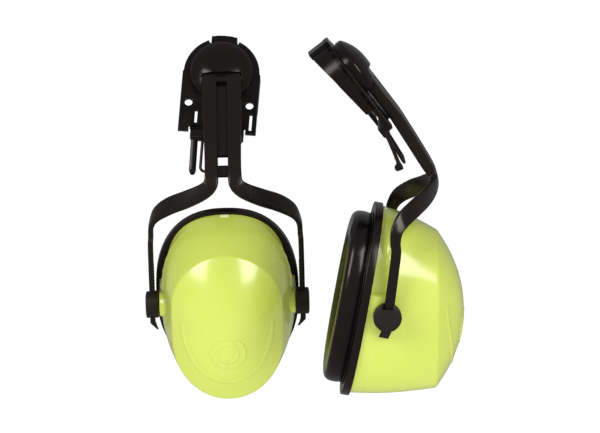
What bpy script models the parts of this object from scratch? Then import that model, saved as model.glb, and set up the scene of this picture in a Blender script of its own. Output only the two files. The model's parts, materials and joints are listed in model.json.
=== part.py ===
"""A pair of earmuff cups for a safety helmet.

Each unit is an adapter that plugs into the helmet's side slot, a round hub that swivels in it,
a forked arm that folds on the hub, two knobs that slide along the fork's toothed prongs, and a
cup that tilts between the knobs. Both units are made by the same functions.

World axes: +Z up, -Y the way the left unit faces, +X the way the right unit faces. Unit axes:
X across the fork, -Y outward from the head, Z up, origin in the middle of the knobs' axis.
"""

import math

import bmesh
import bpy
from mathutils import Matrix, Vector

MM = 0.001
GAP = 0.3 * MM
ROUND = 22

# Where the right unit stands from the left one, measured between their swivel centres
PAIR_WIDTH = 70.4 * MM
PAIR_DEPTH = 100.0 * MM
PAIR_RISE = 17.5 * MM

# Adapter plate, in the hub frame: X across, Y up the plate, Z outward, origin at the swivel centre
PLATE_ANGLE = math.radians(52.4)
SWIVEL_CENTRE = Vector((0.0, 17.8 * MM, 124.7 * MM))
PLATE_HALF_WIDTH = 21.3 * MM
PLATE_TOP_RADIUS = 20.8 * MM
PLATE_THICKNESS = 3.0 * MM
LEG_END = -34.4 * MM
LEG_INNER = 15.5 * MM
WALL = 2.2 * MM
WALL_END = -20.5 * MM
TAB_HALF_WIDTH = 7.0 * MM
TAB_TOP = 22.3 * MM
NOTCH_WIDTH = 0.9 * MM
NOTCH_DEPTH = 2.9 * MM
NOTCH_START = 66.5
ADAPTER_DEPTH_TOP = 12.8 * MM
ADAPTER_DEPTH_MIDDLE = 9.0 * MM
ADAPTER_DEPTH_END = 6.8 * MM
BLADE_THICKNESS = 2.0 * MM
BLADE_HALF_WIDTH = 10.4 * MM
BLADE_END = -30.0 * MM
HELMET_FACE_Y = 8.0 * MM
RIVET_HOLE_RADIUS = 2.2 * MM
RIVET_HOLE_X = 16.7 * MM
RIVET_HOLE_Y = -17.8 * MM
SLOT_HALF_WIDTH = 0.6 * MM
LEFT_SLOT = (-12.0 * MM, -31.0 * MM, -22.5 * MM)
RIGHT_SLOT = (18.0 * MM, -31.8 * MM, -23.0 * MM)
CATCH_TOP = -31.2 * MM
CATCH_END = -37.0 * MM
CATCH_HALF_WIDTH = 14.6 * MM
CATCH_BACK = -7.4 * MM
BAIL_BACK = -1.8 * MM
BAIL_LEFT = -8.0 * MM
BAIL_RIGHT = 13.4 * MM
BAIL_END = -56.0 * MM
BAIL_BEND = 3.0 * MM
BAIL_WIRE = 1.5 * MM
BAIL_TILT = math.radians(6.0)
LEVER_X = -12.0 * MM
LEVER_WIDTH = 3.8 * MM
LEVER_TILT = math.radians(15.0)
LEVER_ROOT = Vector((LEVER_X, -38.0 * MM, -5.8 * MM))
LEVER_TAPER_START = -17.0
LEVER_TAPER = 0.75

# Swivel hub and fold hinge, in the hub frame
HUB_RADIUS = 16.9 * MM
HUB_RIM = 4.6 * MM
HUB_CROWN = 10.1 * MM
HUB_DOME_POWER = 2.4
HUB_BASE_RADIUS = 16.4 * MM
HUB_BASE_DEPTH = 1.2 * MM
NECK_RADIUS = 9.0 * MM
NECK_END = -5.4 * MM
RING_TOP = -3.4 * MM
RING_BOTTOM = -4.2 * MM
FOLD_Y = -4.2 * MM
FOLD_Z = 4.4 * MM
BARREL_RADIUS = 3.4 * MM
BARREL_INSET = 0.2 * MM
PIN_RADIUS = 1.0 * MM
PIN_HALF_LENGTH = 14.4 * MM
COIL_RADIUS = 1.7 * MM
COIL_HALF_LENGTH = 1.7 * MM
COIL_TURNS = 4

# Forked arm, in the unit frame
ARM_HALF_WIDTH = 10.6 * MM
ARM_THICKNESS = 6.4 * MM
GROOVE_HALF_WIDTH = 2.6 * MM
WEB_HALF_WIDTH = GROOVE_HALF_WIDTH + 0.6 * MM
WEB_TILT = math.radians(55.0)
BAR_FOOT_Y = -32.0 * MM
STRAP_WIDTH = 9.6 * MM
STRAP_THICKNESS = 2.8 * MM
PRONG_X = 41.0 * MM
PRONG_WIDTH = 5.3 * MM
PRONG_THICKNESS = 2.9 * MM
PRONG_SLOPE = 0.125
PRONG_OUT = 0.3 * MM
SLIDE_LINE = Vector((0.0, -PRONG_SLOPE, 1.0)).normalized()
TOOTH_PITCH = 1.8 * MM
TOOTH_DEPTH = 0.6 * MM
TOOTH_COUNT = 15
FIRST_TOOTH = -3.0

# Knobs, on the knobs' axis
KNOB_RADIUS = 7.5 * MM
KNOB_INNER = 37.5 * MM
KNOB_OUTER = 44.4 * MM
STUB_RADIUS = 2.9 * MM
STUB_NECK_RADIUS = 2.0 * MM
STUB_END = 30.2 * MM
CLIP_RADIUS = 4.8 * MM

# Cup, in the cup frame: X across, -Y outward, Z up the flange
FLANGE_HALF_WIDTH = 39.0 * MM
FLANGE_HALF_HEIGHT = 52.0 * MM
FLANGE_BACK = -15.0 * MM
FLANGE_FRONT = -10.6 * MM
EAR_HALF_WIDTH = 19.0 * MM
EAR_HALF_HEIGHT = 29.5 * MM
SHELL_HALF_WIDTH = 37.3 * MM
SHELL_HALF_HEIGHT = 50.3 * MM
SHELL_WALL = 2.2 * MM
SHELL_BASE_RISE = 0.8 * MM
SHELL_POINTS = 28
RIM_OUT = 27.4 * MM
RIM_MIDDLE = 1.6 * MM
RIM_HALF_HEIGHT = 42.4 * MM
RIM_HALF_WIDTH = 30.0 * MM
RIM_TAPER_START = 6.8 * MM
RIM_TILT = math.radians(10.0)
DOME_HEIGHT = 14.6 * MM
DOME_POWER = 2.1
WALL_BULGE = 0.03
BOSS_RADIUS = 6.85 * MM
BOSS_FACE = 37.2 * MM
BOSS_ROOT = 32.6 * MM
BLOCK_INNER = 34.0 * MM
BLOCK_OUTER = 36.5 * MM
BLOCK_LOW = (-7.4 * MM, -8.2 * MM)
BLOCK_HIGH = (8.5 * MM, 11.7 * MM)
CUSHION_FACE = -25.4 * MM
CUSHION_HALF_WIDTH = 33.6 * MM
CUSHION_HALF_HEIGHT = 46.6 * MM
CUSHION_SKIN = 1.0 * MM
CUSHION_INNER_LIP = 1.5 * MM
SEAL_LEVEL = -CUSHION_FACE - 0.5 * MM
OVAL_POWER = 2.38
FOAM_HALF_WIDTH = 27.5 * MM
FOAM_HALF_HEIGHT = 40.0 * MM
FOAM_FLOOR = -2.0 * MM
FOAM_CLEARANCE = 6.0 * MM

# How each unit stands: angles in degrees, and how far up the prongs its knobs sit
LEFT_POSE = {
    "yaw": 0.0, "pitch": -5.0, "lean": -1.6, "swivel": -5.6, "tilt": 28.5, "fold": 12.5,
    "height": 2.0 * MM,
}
RIGHT_POSE = {
    "yaw": 90.8, "pitch": 0.0, "lean": 0.0, "swivel": 0.0, "tilt": 10.4, "fold": 0.0, "height": 0.0,
}


def clear_scene():
    for item in list(bpy.data.objects):
        bpy.data.objects.remove(item, do_unlink=True)


def make_collection(name):
    collection = bpy.data.collections.new(name)
    bpy.context.scene.collection.children.link(collection)
    return collection


def make_material(name, colour, roughness, metallic=0.0):
    material = bpy.data.materials.new(name)
    material.use_nodes = True
    shader = material.node_tree.nodes["Principled BSDF"]
    shader.inputs["Base Color"].default_value = (*colour, 1.0)
    shader.inputs["Roughness"].default_value = roughness
    shader.inputs["Metallic"].default_value = metallic
    return material


clear_scene()
PARTS = make_collection("earmuff_pair")
CUTTERS = make_collection("cutters")

BLACK_PLASTIC = (0.018, 0.015, 0.015)
MATERIALS = {
    "adapter_plate": make_material("adapter_plate", (0.016, 0.014, 0.014), 0.42),
    "slot_blade": make_material("slot_blade", (0.020, 0.018, 0.018), 0.40),
    "spring_catch": make_material("spring_catch", (0.020, 0.018, 0.018), 0.44),
    "release_lever": make_material("release_lever", (0.024, 0.021, 0.021), 0.40),
    "swivel_hub": make_material("swivel_hub", (0.014, 0.013, 0.013), 0.35),
    "hub_snap_ring": make_material("hub_snap_ring", (0.55, 0.55, 0.56), 0.30, 1.0),
    "fold_pin": make_material("fold_pin", (0.60, 0.60, 0.61), 0.25, 1.0),
    "fold_spring": make_material("fold_spring", (0.50, 0.50, 0.51), 0.28, 1.0),
    "yoke_arm": make_material("yoke_arm", BLACK_PLASTIC, 0.38),
    "front_knob": make_material("front_knob", BLACK_PLASTIC, 0.45),
    "rear_knob": make_material("rear_knob", BLACK_PLASTIC, 0.45),
    "front_pivot_clip": make_material("front_pivot_clip", (0.55, 0.55, 0.56), 0.30, 1.0),
    "rear_pivot_clip": make_material("rear_pivot_clip", (0.55, 0.55, 0.56), 0.30, 1.0),
    "cup_shell": make_material("cup_shell", (0.66, 0.80, 0.10), 0.28),
    "back_plate": make_material("back_plate", BLACK_PLASTIC, 0.40),
    "cushion_cover": make_material("cushion_cover", (0.012, 0.011, 0.011), 0.30),
    "cushion_foam": make_material("cushion_foam", (0.55, 0.55, 0.52), 0.90),
    "cup_foam": make_material("cup_foam", (0.06, 0.06, 0.06), 0.95),
}


# Frames and objects


def make_frame(name, parent=None, location=(0.0, 0.0, 0.0), rotation=(0.0, 0.0, 0.0)):
    frame = bpy.data.objects.new(name, None)
    frame.empty_display_size = 0.01
    PARTS.objects.link(frame)
    frame.parent = parent
    frame.location = location
    frame.rotation_euler = rotation
    return frame


def add_object(name, mesh, parent, collection=None):
    item = bpy.data.objects.new(name, mesh)
    (collection or PARTS).objects.link(item)
    item.parent = parent
    return item


def part_object(prefix, role, mesh, parent):
    item = add_object(f"{prefix}_{role}", mesh, parent)
    mesh.materials.append(MATERIALS[role])
    mesh.shade_smooth()
    mesh.set_sharp_from_angle(angle=math.radians(32))
    return item


def hide_cutter(cutter):
    cutter.hide_render = True
    cutter.display_type = "WIRE"
    return cutter


def cutter_object(name, mesh, parent):
    return hide_cutter(add_object(name, mesh, parent, CUTTERS))


def boolean(item, cutter, operation="DIFFERENCE"):
    modifier = item.modifiers.new(cutter.name, "BOOLEAN")
    modifier.operation = operation
    modifier.object = cutter
    modifier.solver = "EXACT"
    return modifier


def mirror_x(item):
    modifier = item.modifiers.new("mirror", "MIRROR")
    modifier.use_axis = (True, False, False)
    modifier.merge_threshold = 0.00001
    return modifier


def solidify(item, thickness):
    modifier = item.modifiers.new("wall", "SOLIDIFY")
    modifier.thickness = thickness
    modifier.offset = -1.0
    modifier.use_even_offset = True
    return modifier


# Mesh makers


def box_mesh(name, low, high):
    mesh = bpy.data.meshes.new(name)
    shape = bmesh.new()
    bmesh.ops.create_cube(shape, size=1.0)
    size = [b - a for a, b in zip(low, high)]
    middle = [(a + b) / 2 for a, b in zip(low, high)]
    bmesh.ops.scale(shape, vec=size, verts=shape.verts)
    bmesh.ops.translate(shape, vec=middle, verts=shape.verts)
    shape.to_mesh(mesh)
    shape.free()
    return mesh


def rod_mesh(name, radius, start, end, segments=ROUND):
    """A cylinder whose axis runs from start to end."""
    start = Vector(start)
    end = Vector(end)
    mesh = bpy.data.meshes.new(name)
    shape = bmesh.new()
    turn = Vector((0, 0, 1)).rotation_difference(end - start).to_matrix().to_4x4()
    place = Matrix.Translation((start + end) / 2) @ turn
    bmesh.ops.create_cone(
        shape, cap_ends=True, segments=segments, radius1=radius, radius2=radius,
        depth=(end - start).length, matrix=place,
    )
    shape.to_mesh(mesh)
    shape.free()
    return mesh


def turned_object(prefix, role, profile, parent, axis="Z", steps=ROUND):
    """A profile of (radius, height) from the top of the outer side down, turned by Screw."""
    mesh = bpy.data.meshes.new(f"{prefix}_{role}")
    points = [(r, 0.0, h) for r, h in profile]
    edges = [(i, i + 1) for i in range(len(points) - 1)]
    if profile[0][0] > 0.0 and profile[-1][0] > 0.0:
        edges.append((len(points) - 1, 0))
    mesh.from_pydata(points, edges, [])
    item = add_object(f"{prefix}_{role}", mesh, parent)
    mesh.materials.append(MATERIALS[role])
    modifier = item.modifiers.new("turn", "SCREW")
    modifier.axis = axis
    modifier.steps = steps
    modifier.render_steps = steps
    modifier.use_merge_vertices = True
    modifier.merge_threshold = 0.00001
    modifier.use_smooth_shade = True
    return item


def plate_mesh(name, outlines, bottom, top):
    """A flat plate between two heights; the first outline is its edge, the others are holes."""
    curve = bpy.data.curves.new(name, "CURVE")
    curve.dimensions = "2D"
    curve.fill_mode = "BOTH"
    curve.extrude = (top - bottom) / 2
    for outline in outlines:
        spline = curve.splines.new("POLY")
        spline.points.add(len(outline) - 1)
        for point, (x, y) in zip(spline.points, outline):
            point.co = (x, y, 0.0, 1.0)
        spline.use_cyclic_u = True
    source = bpy.data.objects.new(name, curve)
    CUTTERS.objects.link(source)
    bpy.context.view_layer.update()
    evaluated = source.evaluated_get(bpy.context.evaluated_depsgraph_get())
    mesh = bpy.data.meshes.new_from_object(evaluated)
    shape = bmesh.new()
    shape.from_mesh(mesh)
    bmesh.ops.remove_doubles(shape, verts=shape.verts, dist=0.000001)
    bmesh.ops.translate(shape, vec=(0.0, 0.0, (top + bottom) / 2), verts=shape.verts)
    shape.to_mesh(mesh)
    shape.free()
    bpy.data.objects.remove(source, do_unlink=True)
    return mesh


def loft_mesh(name, rings, closed=False, caps=True):
    """Skin a list of equal rings of points; closed joins the last ring to the first."""
    shape = bmesh.new()
    rows = [[shape.verts.new(point) for point in ring] for ring in rings]
    pairs = list(zip(rows, rows[1:]))
    if closed:
        pairs.append((rows[-1], rows[0]))
    for low, high in pairs:
        count = len(low)
        for i in range(count):
            j = (i + 1) % count
            shape.faces.new((low[i], low[j], high[j], high[i]))
    if caps and not closed:
        shape.faces.new(list(reversed(rows[0])))
        shape.faces.new(rows[-1])
    bmesh.ops.recalc_face_normals(shape, faces=shape.faces)
    mesh = bpy.data.meshes.new(name)
    shape.to_mesh(mesh)
    shape.free()
    return mesh


def oval(half_width, half_height, angle, power=OVAL_POWER):
    """A point of a slightly squared oval at an angle from +X."""
    c = math.cos(angle)
    s = math.sin(angle)
    x = half_width * math.copysign(abs(c) ** (2 / power), c)
    z = half_height * math.copysign(abs(s) ** (2 / power), s)
    return x, z


def arc(centre, radius, start, end, steps):
    """Points of a circular arc, angles in degrees."""
    angles = [math.radians(start + (end - start) * i / steps) for i in range(steps + 1)]
    return [(centre[0] + radius * math.cos(a), centre[1] + radius * math.sin(a)) for a in angles]


# Adapter


def adapter_depth(y):
    """How far the helmet side lies behind the outer face at a height on the plate."""
    if y > 0.0:
        rise = (y / TAB_TOP) ** 1.4
        return ADAPTER_DEPTH_MIDDLE + (ADAPTER_DEPTH_TOP - ADAPTER_DEPTH_MIDDLE) * rise
    fall = min(y / WALL_END, 1.0)
    return ADAPTER_DEPTH_MIDDLE + (ADAPTER_DEPTH_END - ADAPTER_DEPTH_MIDDLE) * fall


def adapter_outline():
    notch = PLATE_TOP_RADIUS - NOTCH_DEPTH
    notch_x = TAB_HALF_WIDTH + NOTCH_WIDTH
    right = arc((0, 0), PLATE_TOP_RADIUS, 0, NOTCH_START, 7)
    outline = [(LEG_INNER, LEG_END), (PLATE_HALF_WIDTH, LEG_END), (PLATE_HALF_WIDTH, 0.0)]
    outline += right[1:]
    outline += [(notch_x, notch), (TAB_HALF_WIDTH, notch), (TAB_HALF_WIDTH, TAB_TOP - 0.8 * MM)]
    outline.append((0.0, TAB_TOP))
    left = [(-x, y) for x, y in reversed(outline[:-1])]
    leg_root = LEG_END + 3.0 * MM
    return outline + left + [(-LEG_INNER, leg_root), (LEG_INNER, leg_root)]


def inset_outline():
    """The hollow behind the outer plate, open at its lower end."""
    half = PLATE_HALF_WIDTH - WALL
    top = arc((0, 0), PLATE_TOP_RADIUS - WALL, 5, 175, 12)
    return [(-half, 2 * LEG_END), (half, 2 * LEG_END), (half, 0.0)] + top + [(-half, 0.0)]


def slot_outline(x, low, high):
    left = x - SLOT_HALF_WIDTH
    right = x + SLOT_HALF_WIDTH
    return [(left, low), (right, low), (right, high), (left, high)]


def helmet_side_mesh(name, thickness, half_width, low, high, steps):
    """A strip between the adapter's curved helmet side and a surface behind or before it."""
    rings = []
    for i in range(steps + 1):
        y = low + (high - low) * i / steps
        back = -adapter_depth(y)
        corners = [(-1, 0), (1, 0), (1, 1), (-1, 1)]
        rings.append([Vector((sx * half_width, y, back + sz * thickness)) for sx, sz in corners])
    return loft_mesh(name, rings)


def make_adapter_plate(prefix, frame):
    role = "adapter_plate"
    holes = [arc((s * RIVET_HOLE_X, RIVET_HOLE_Y), RIVET_HOLE_RADIUS, 0, 330, 11) for s in (-1, 1)]
    slots = [slot_outline(*slot) for slot in (LEFT_SLOT, RIGHT_SLOT)]
    neck_hole = arc((0, 0), NECK_RADIUS + GAP, 0, 345, 23)
    outlines = [adapter_outline(), neck_hole] + holes + slots
    mesh = plate_mesh(f"{prefix}_{role}", outlines, -15.0 * MM, 0.0)
    plate = part_object(prefix, role, mesh, frame)
    inner = plate_mesh(f"{prefix}_plate_hollow", [inset_outline()], -16.0 * MM, -PLATE_THICKNESS)
    boolean(plate, cutter_object(f"{prefix}_plate_hollow", inner, frame))
    back = helmet_side_mesh(f"{prefix}_helmet_side", -12.0 * MM, 30.0 * MM, -40.0 * MM, 24.0 * MM, 12)
    boolean(plate, cutter_object(f"{prefix}_helmet_side", back, frame))
    low = (-30 * MM, -50 * MM, -20 * MM)
    ends = box_mesh(f"{prefix}_wall_ends", low, (30 * MM, WALL_END, -PLATE_THICKNESS))
    boolean(plate, cutter_object(f"{prefix}_wall_ends", ends, frame))
    recess_floor = -HUB_BASE_DEPTH - GAP
    recess = rod_mesh(f"{prefix}_hub_recess", HUB_RADIUS + GAP, (0, 0, recess_floor), (0, 0, 1 * MM))
    boolean(plate, cutter_object(f"{prefix}_hub_recess", recess, frame))
    return plate


def make_slot_blade(prefix, frame):
    """The curved tongue that slides into the helmet's slot, fixed behind the plate's top."""
    role = "slot_blade"
    half = PLATE_HALF_WIDTH - WALL - GAP
    outline = [(BLADE_HALF_WIDTH, BLADE_END), (BLADE_HALF_WIDTH, -12.0 * MM), (half, -8.0 * MM)]
    outline += arc((0, 0), half - 0.4 * MM, 0, 180, 12)
    outline += [(-half, -8.0 * MM), (-BLADE_HALF_WIDTH, -12.0 * MM), (-BLADE_HALF_WIDTH, BLADE_END)]
    mesh = plate_mesh(f"{prefix}_{role}", [outline], -15.0 * MM, -5.6 * MM)
    blade = part_object(prefix, role, mesh, frame)
    strip = helmet_side_mesh(
        f"{prefix}_blade_strip", BLADE_THICKNESS, 30.0 * MM, -36.0 * MM, 24.0 * MM, 12
    )
    boolean(blade, cutter_object(f"{prefix}_blade_strip", strip, frame), "INTERSECT")
    return blade


def make_spring_catch(prefix, frame):
    """The cross block at the plate's lower end, with the bail that hangs from it."""
    role = "spring_catch"
    low = (-CATCH_HALF_WIDTH, CATCH_END, CATCH_BACK)
    block = box_mesh(f"{prefix}_{role}", low, (CATCH_HALF_WIDTH, CATCH_TOP, -PLATE_THICKNESS - GAP))
    catch = part_object(prefix, role, block, frame)
    root = CATCH_END + MM
    left_bend = (BAIL_LEFT + BAIL_BEND, BAIL_END + BAIL_BEND)
    right_bend = (BAIL_RIGHT - BAIL_BEND, BAIL_END + BAIL_BEND)
    outer = [(BAIL_LEFT, root)] + arc(left_bend, BAIL_BEND, 180, 270, 4)
    outer += arc(right_bend, BAIL_BEND, 270, 360, 4) + [(BAIL_RIGHT, root)]
    inner = [(BAIL_RIGHT - BAIL_WIRE, root)]
    inner += arc(right_bend, BAIL_BEND - BAIL_WIRE, 360, 270, 3)
    inner += arc(left_bend, BAIL_BEND - BAIL_WIRE, 270, 180, 3)
    inner += [(BAIL_LEFT + BAIL_WIRE, root)]
    bail = plate_mesh(f"{prefix}_bail", [outer + inner], -1.1 * MM, 1.1 * MM)
    loop = cutter_object(f"{prefix}_bail", bail, frame)
    loop.rotation_euler = (BAIL_TILT, 0.0, 0.0)
    loop.location = (0.0, 0.0, BAIL_BACK)
    boolean(catch, loop, "UNION")
    return catch


def make_release_lever(prefix, frame):
    """A finger tongue beside the bail, thickest at its hooked end."""
    role = "release_lever"
    half = LEVER_WIDTH / 2
    stations = [(0.6, -1.0, 1.0), (-8.0, -0.9, 0.9), (-15.0, -1.0, 1.1), (-15.8, -2.8, 1.3)]
    stations += [(-18.0, -3.0, 1.5), (-19.0, -1.6, 0.9)]
    rings = []
    for y, back, front in stations:
        reach = half if y > LEVER_TAPER_START else half * LEVER_TAPER
        ring = [(-reach, back), (reach, back), (reach, front), (-reach, front)]
        rings.append([Vector((x, y * MM, z * MM)) for x, z in ring])
    mesh = loft_mesh(f"{prefix}_{role}", rings)
    lever = part_object(prefix, role, mesh, frame)
    return lever


# Hub and fold hinge


def hub_profile():
    dome_steps = 4
    profile = []
    for i in range(dome_steps + 1):
        radius = (HUB_RADIUS - 0.5 * MM) * i / dome_steps
        share = (radius / HUB_RADIUS) ** HUB_DOME_POWER
        profile.append((radius, HUB_CROWN - (HUB_CROWN - HUB_RIM) * share))
    profile.append((HUB_RADIUS, HUB_RIM - 0.4 * MM))
    profile.append((HUB_RADIUS, GAP))
    profile.append((HUB_BASE_RADIUS, GAP))
    profile.append((HUB_BASE_RADIUS, -HUB_BASE_DEPTH))
    profile.append((NECK_RADIUS, -HUB_BASE_DEPTH))
    profile.append((NECK_RADIUS, RING_TOP + 0.1 * MM))
    profile.append((NECK_RADIUS - 1.0 * MM, RING_TOP + 0.1 * MM))
    profile.append((NECK_RADIUS - 1.0 * MM, RING_BOTTOM - GAP))
    profile.append((NECK_RADIUS, RING_BOTTOM - GAP))
    profile.append((NECK_RADIUS - 0.4 * MM, NECK_END))
    profile.append((0.0, NECK_END))
    return profile


def make_swivel_hub(prefix, frame):
    hub = turned_object(prefix, "swivel_hub", hub_profile(), frame)
    side = ARM_HALF_WIDTH + GAP
    low = (-side, -20 * MM, GAP)
    channel = box_mesh(f"{prefix}_arm_channel", low, (side, FOLD_Y + BARREL_RADIUS + GAP, 12 * MM))
    boolean(hub, cutter_object(f"{prefix}_arm_channel", channel, frame))
    reach = PIN_HALF_LENGTH + GAP
    bore = rod_mesh(
        f"{prefix}_hub_bore", PIN_RADIUS + GAP, (-reach, FOLD_Y, FOLD_Z), (reach, FOLD_Y, FOLD_Z), 16
    )
    boolean(hub, cutter_object(f"{prefix}_hub_bore", bore, frame))
    return hub


def make_hub_snap_ring(prefix, frame):
    inner = NECK_RADIUS - 1.0 * MM + GAP
    outer = NECK_RADIUS + 2.4 * MM
    profile = [(outer, RING_TOP - 0.1 * MM), (outer, RING_BOTTOM), (inner, RING_BOTTOM)]
    profile.append((inner, RING_TOP - 0.1 * MM))
    ring = turned_object(prefix, "hub_snap_ring", profile, frame, steps=24)
    split = box_mesh(f"{prefix}_ring_gap", (-1.2 * MM, 0, -6 * MM), (1.2 * MM, 14 * MM, -2 * MM))
    boolean(ring, cutter_object(f"{prefix}_ring_gap", split, frame))
    return ring


def make_fold_pin(prefix, frame):
    reach = PIN_HALF_LENGTH
    mesh = rod_mesh(
        f"{prefix}_fold_pin", PIN_RADIUS, (-reach, FOLD_Y, FOLD_Z), (reach, FOLD_Y, FOLD_Z), 16
    )
    return part_object(prefix, "fold_pin", mesh, frame)


def make_fold_spring(prefix, frame):
    """A torsion coil round the pin, between the arm's two knuckles."""
    curve = bpy.data.curves.new(f"{prefix}_fold_spring", "CURVE")
    curve.dimensions = "3D"
    curve.bevel_depth = 0.3 * MM
    curve.bevel_resolution = 0
    curve.use_fill_caps = True
    per_turn = 8
    steps = COIL_TURNS * per_turn
    points = [(-COIL_HALF_LENGTH, FOLD_Y - 2.6 * MM, FOLD_Z - COIL_RADIUS)]
    for i in range(steps + 1):
        angle = 2 * math.pi * i / per_turn - math.pi / 2
        x = COIL_HALF_LENGTH * (2 * i / steps - 1)
        y = FOLD_Y + COIL_RADIUS * math.cos(angle)
        points.append((x, y, FOLD_Z + COIL_RADIUS * math.sin(angle)))
    spline = curve.splines.new("POLY")
    spline.points.add(len(points) - 1)
    for point, position in zip(spline.points, points):
        point.co = (*position, 1.0)
    spring = bpy.data.objects.new(f"{prefix}_fold_spring", curve)
    PARTS.objects.link(spring)
    spring.parent = frame
    curve.materials.append(MATERIALS["fold_spring"])
    return spring


# Arm


def hub_point(x, y, z):
    """A point given in the hub frame, in unit coordinates."""
    turn = Matrix.Rotation(PLATE_ANGLE, 4, "X")
    return SWIVEL_CENTRE + turn @ Vector((x, y, z))


def unit_point(x, out, up):
    return Vector((x * MM, -out * MM, up * MM))


def smooth_path(knots, steps):
    """Catmull-Rom values through tuples of numbers."""
    result = []
    last = len(knots) - 1
    for i in range(last):
        a = knots[max(i - 1, 0)]
        b = knots[i]
        c = knots[i + 1]
        d = knots[min(i + 2, last)]
        for step in range(steps):
            t = step / steps
            values = []
            for p, q, r, s in zip(a, b, c, d):
                value = 2 * q + (r - p) * t + (2 * p - 5 * q + 4 * r - s) * t * t
                value += (3 * q - p - 3 * r + s) * t * t * t
                values.append(value / 2)
            result.append(values)
    result.append(list(knots[-1]))
    return result


def band_section(centre, along, wide, width, thickness, corner):
    """An eight-sided section with its width along wide, square to the path."""
    wide = (wide - along * wide.dot(along)).normalized()
    deep = along.cross(wide).normalized()
    w = width / 2
    t = thickness / 2
    c = min(corner, t * 0.8)
    shape = [(w, -t + c), (w, t - c), (w - c, t), (-w + c, t), (-w, t - c), (-w, -t + c)]
    shape += [(-w + c, -t), (w - c, -t)]
    return [centre + wide * a + deep * b for a, b in shape]


def arm_knots():
    """Knots of one half of the fork: place, width direction, width and thickness."""
    bar = ARM_HALF_WIDTH - GROOVE_HALF_WIDTH
    bar_x = (ARM_HALF_WIDTH + GROOVE_HALF_WIDTH) / 2
    low_bar = bar - 0.7 * MM
    sideways = (1.0, 0.0, 0.0)
    start = hub_point(bar_x, FOLD_Y, FOLD_Z)
    face = hub_point(bar_x, BAR_FOOT_Y, FOLD_Z - 0.2 * MM)
    knots = [(*start, *sideways, bar, ARM_THICKNESS), (*face, *sideways, bar, ARM_THICKNESS)]
    turning = [
        (6.35, 13.7, 88.3, sideways, low_bar, ARM_THICKNESS),
        (6.3, 21.7, 75.4, sideways, low_bar, 6.0 * MM),
        (6.9, 25.3, 68.9, (0.95, 0.1, 0.3), 7.9 * MM, 4.4 * MM),
        (11.0, 25.2, 64.8, (0.5, 0.2, 0.85), 8.8 * MM, STRAP_THICKNESS),
        (20.0, 21.2, 60.6, (0.2, 0.2, 0.95), STRAP_WIDTH, STRAP_THICKNESS),
        (29.5, 15.4, 56.8, (0.1, 0.25, 0.95), STRAP_WIDTH, STRAP_THICKNESS),
        (37.0, 8.8, 51.8, (0.0, 0.5, 0.86), 8.6 * MM, STRAP_THICKNESS),
        (40.2, 4.9, 45.6, (0.0, 0.9, 0.45), 6.5 * MM, STRAP_THICKNESS),
        (40.7, 4.1, 39.0, (0.0, 1.0, 0.05), 5.5 * MM, PRONG_THICKNESS),
    ]
    for x, out, up, wide, width, thickness in turning:
        knots.append((*unit_point(x, out, up), *wide, width, thickness))
    for up in (33.0, 10.0, -7.9):
        place = unit_point(PRONG_X / MM, PRONG_OUT / MM + PRONG_SLOPE * up, up)
        knots.append((*place, 0.0, 1.0, 0.0, PRONG_WIDTH, PRONG_THICKNESS))
    tip = unit_point(PRONG_X / MM - 2.4, -2.0, -11.8)
    knots.append((*tip, 0.0, 1.0, 0.0, PRONG_WIDTH, 0.9 * MM))
    return knots


def band_rings(samples, corner):
    rings = []
    places = [Vector(sample[:3]) for sample in samples]
    for i, sample in enumerate(samples):
        before = places[max(i - 1, 0)]
        after = places[min(i + 1, len(places) - 1)]
        along = (after - before).normalized()
        rings.append(band_section(places[i], along, Vector(sample[3:6]), sample[6], sample[7], corner))
    return rings


def arm_samples():
    """Straight runs keep their knots only; the bends between them are smoothed."""
    knots = arm_knots()
    bend = smooth_path(knots[2:12], 2)
    return [list(knot) for knot in knots[:2]] + bend + [list(knot) for knot in knots[12:]]


def arm_line(up):
    """How far out the middle of the bars lies at a height in millimetres."""
    top = hub_point(0.0, FOLD_Y, FOLD_Z) / MM
    face = hub_point(0.0, BAR_FOOT_Y, FOLD_Z - 0.2 * MM) / MM
    line = [(top.z, -top.y), (face.z, -face.y), (88.3, 13.7), (75.4, 21.7), (68.9, 25.3)]
    for (high, near), (low, far) in zip(line, line[1:]):
        if up >= low:
            return near + (far - near) * (high - up) / (high - low)
    return line[-1][1]


def web_mesh(name, low, high, front, back):
    """A web between the bars, from one height on the arm to another, set back from its face."""
    rings = []
    steps = 4
    half = WEB_HALF_WIDTH
    turn = Matrix.Rotation(WEB_TILT, 4, "X")
    for i in range(steps + 1):
        up = high + (low - high) * i / steps
        centre = unit_point(0.0, arm_line(up), up)
        ring = [(-half, back * MM), (half, back * MM), (half, front * MM), (-half, front * MM)]
        rings.append([centre + turn @ Vector((x, 0.0, z)) for x, z in ring])
    return loft_mesh(name, rings)


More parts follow.
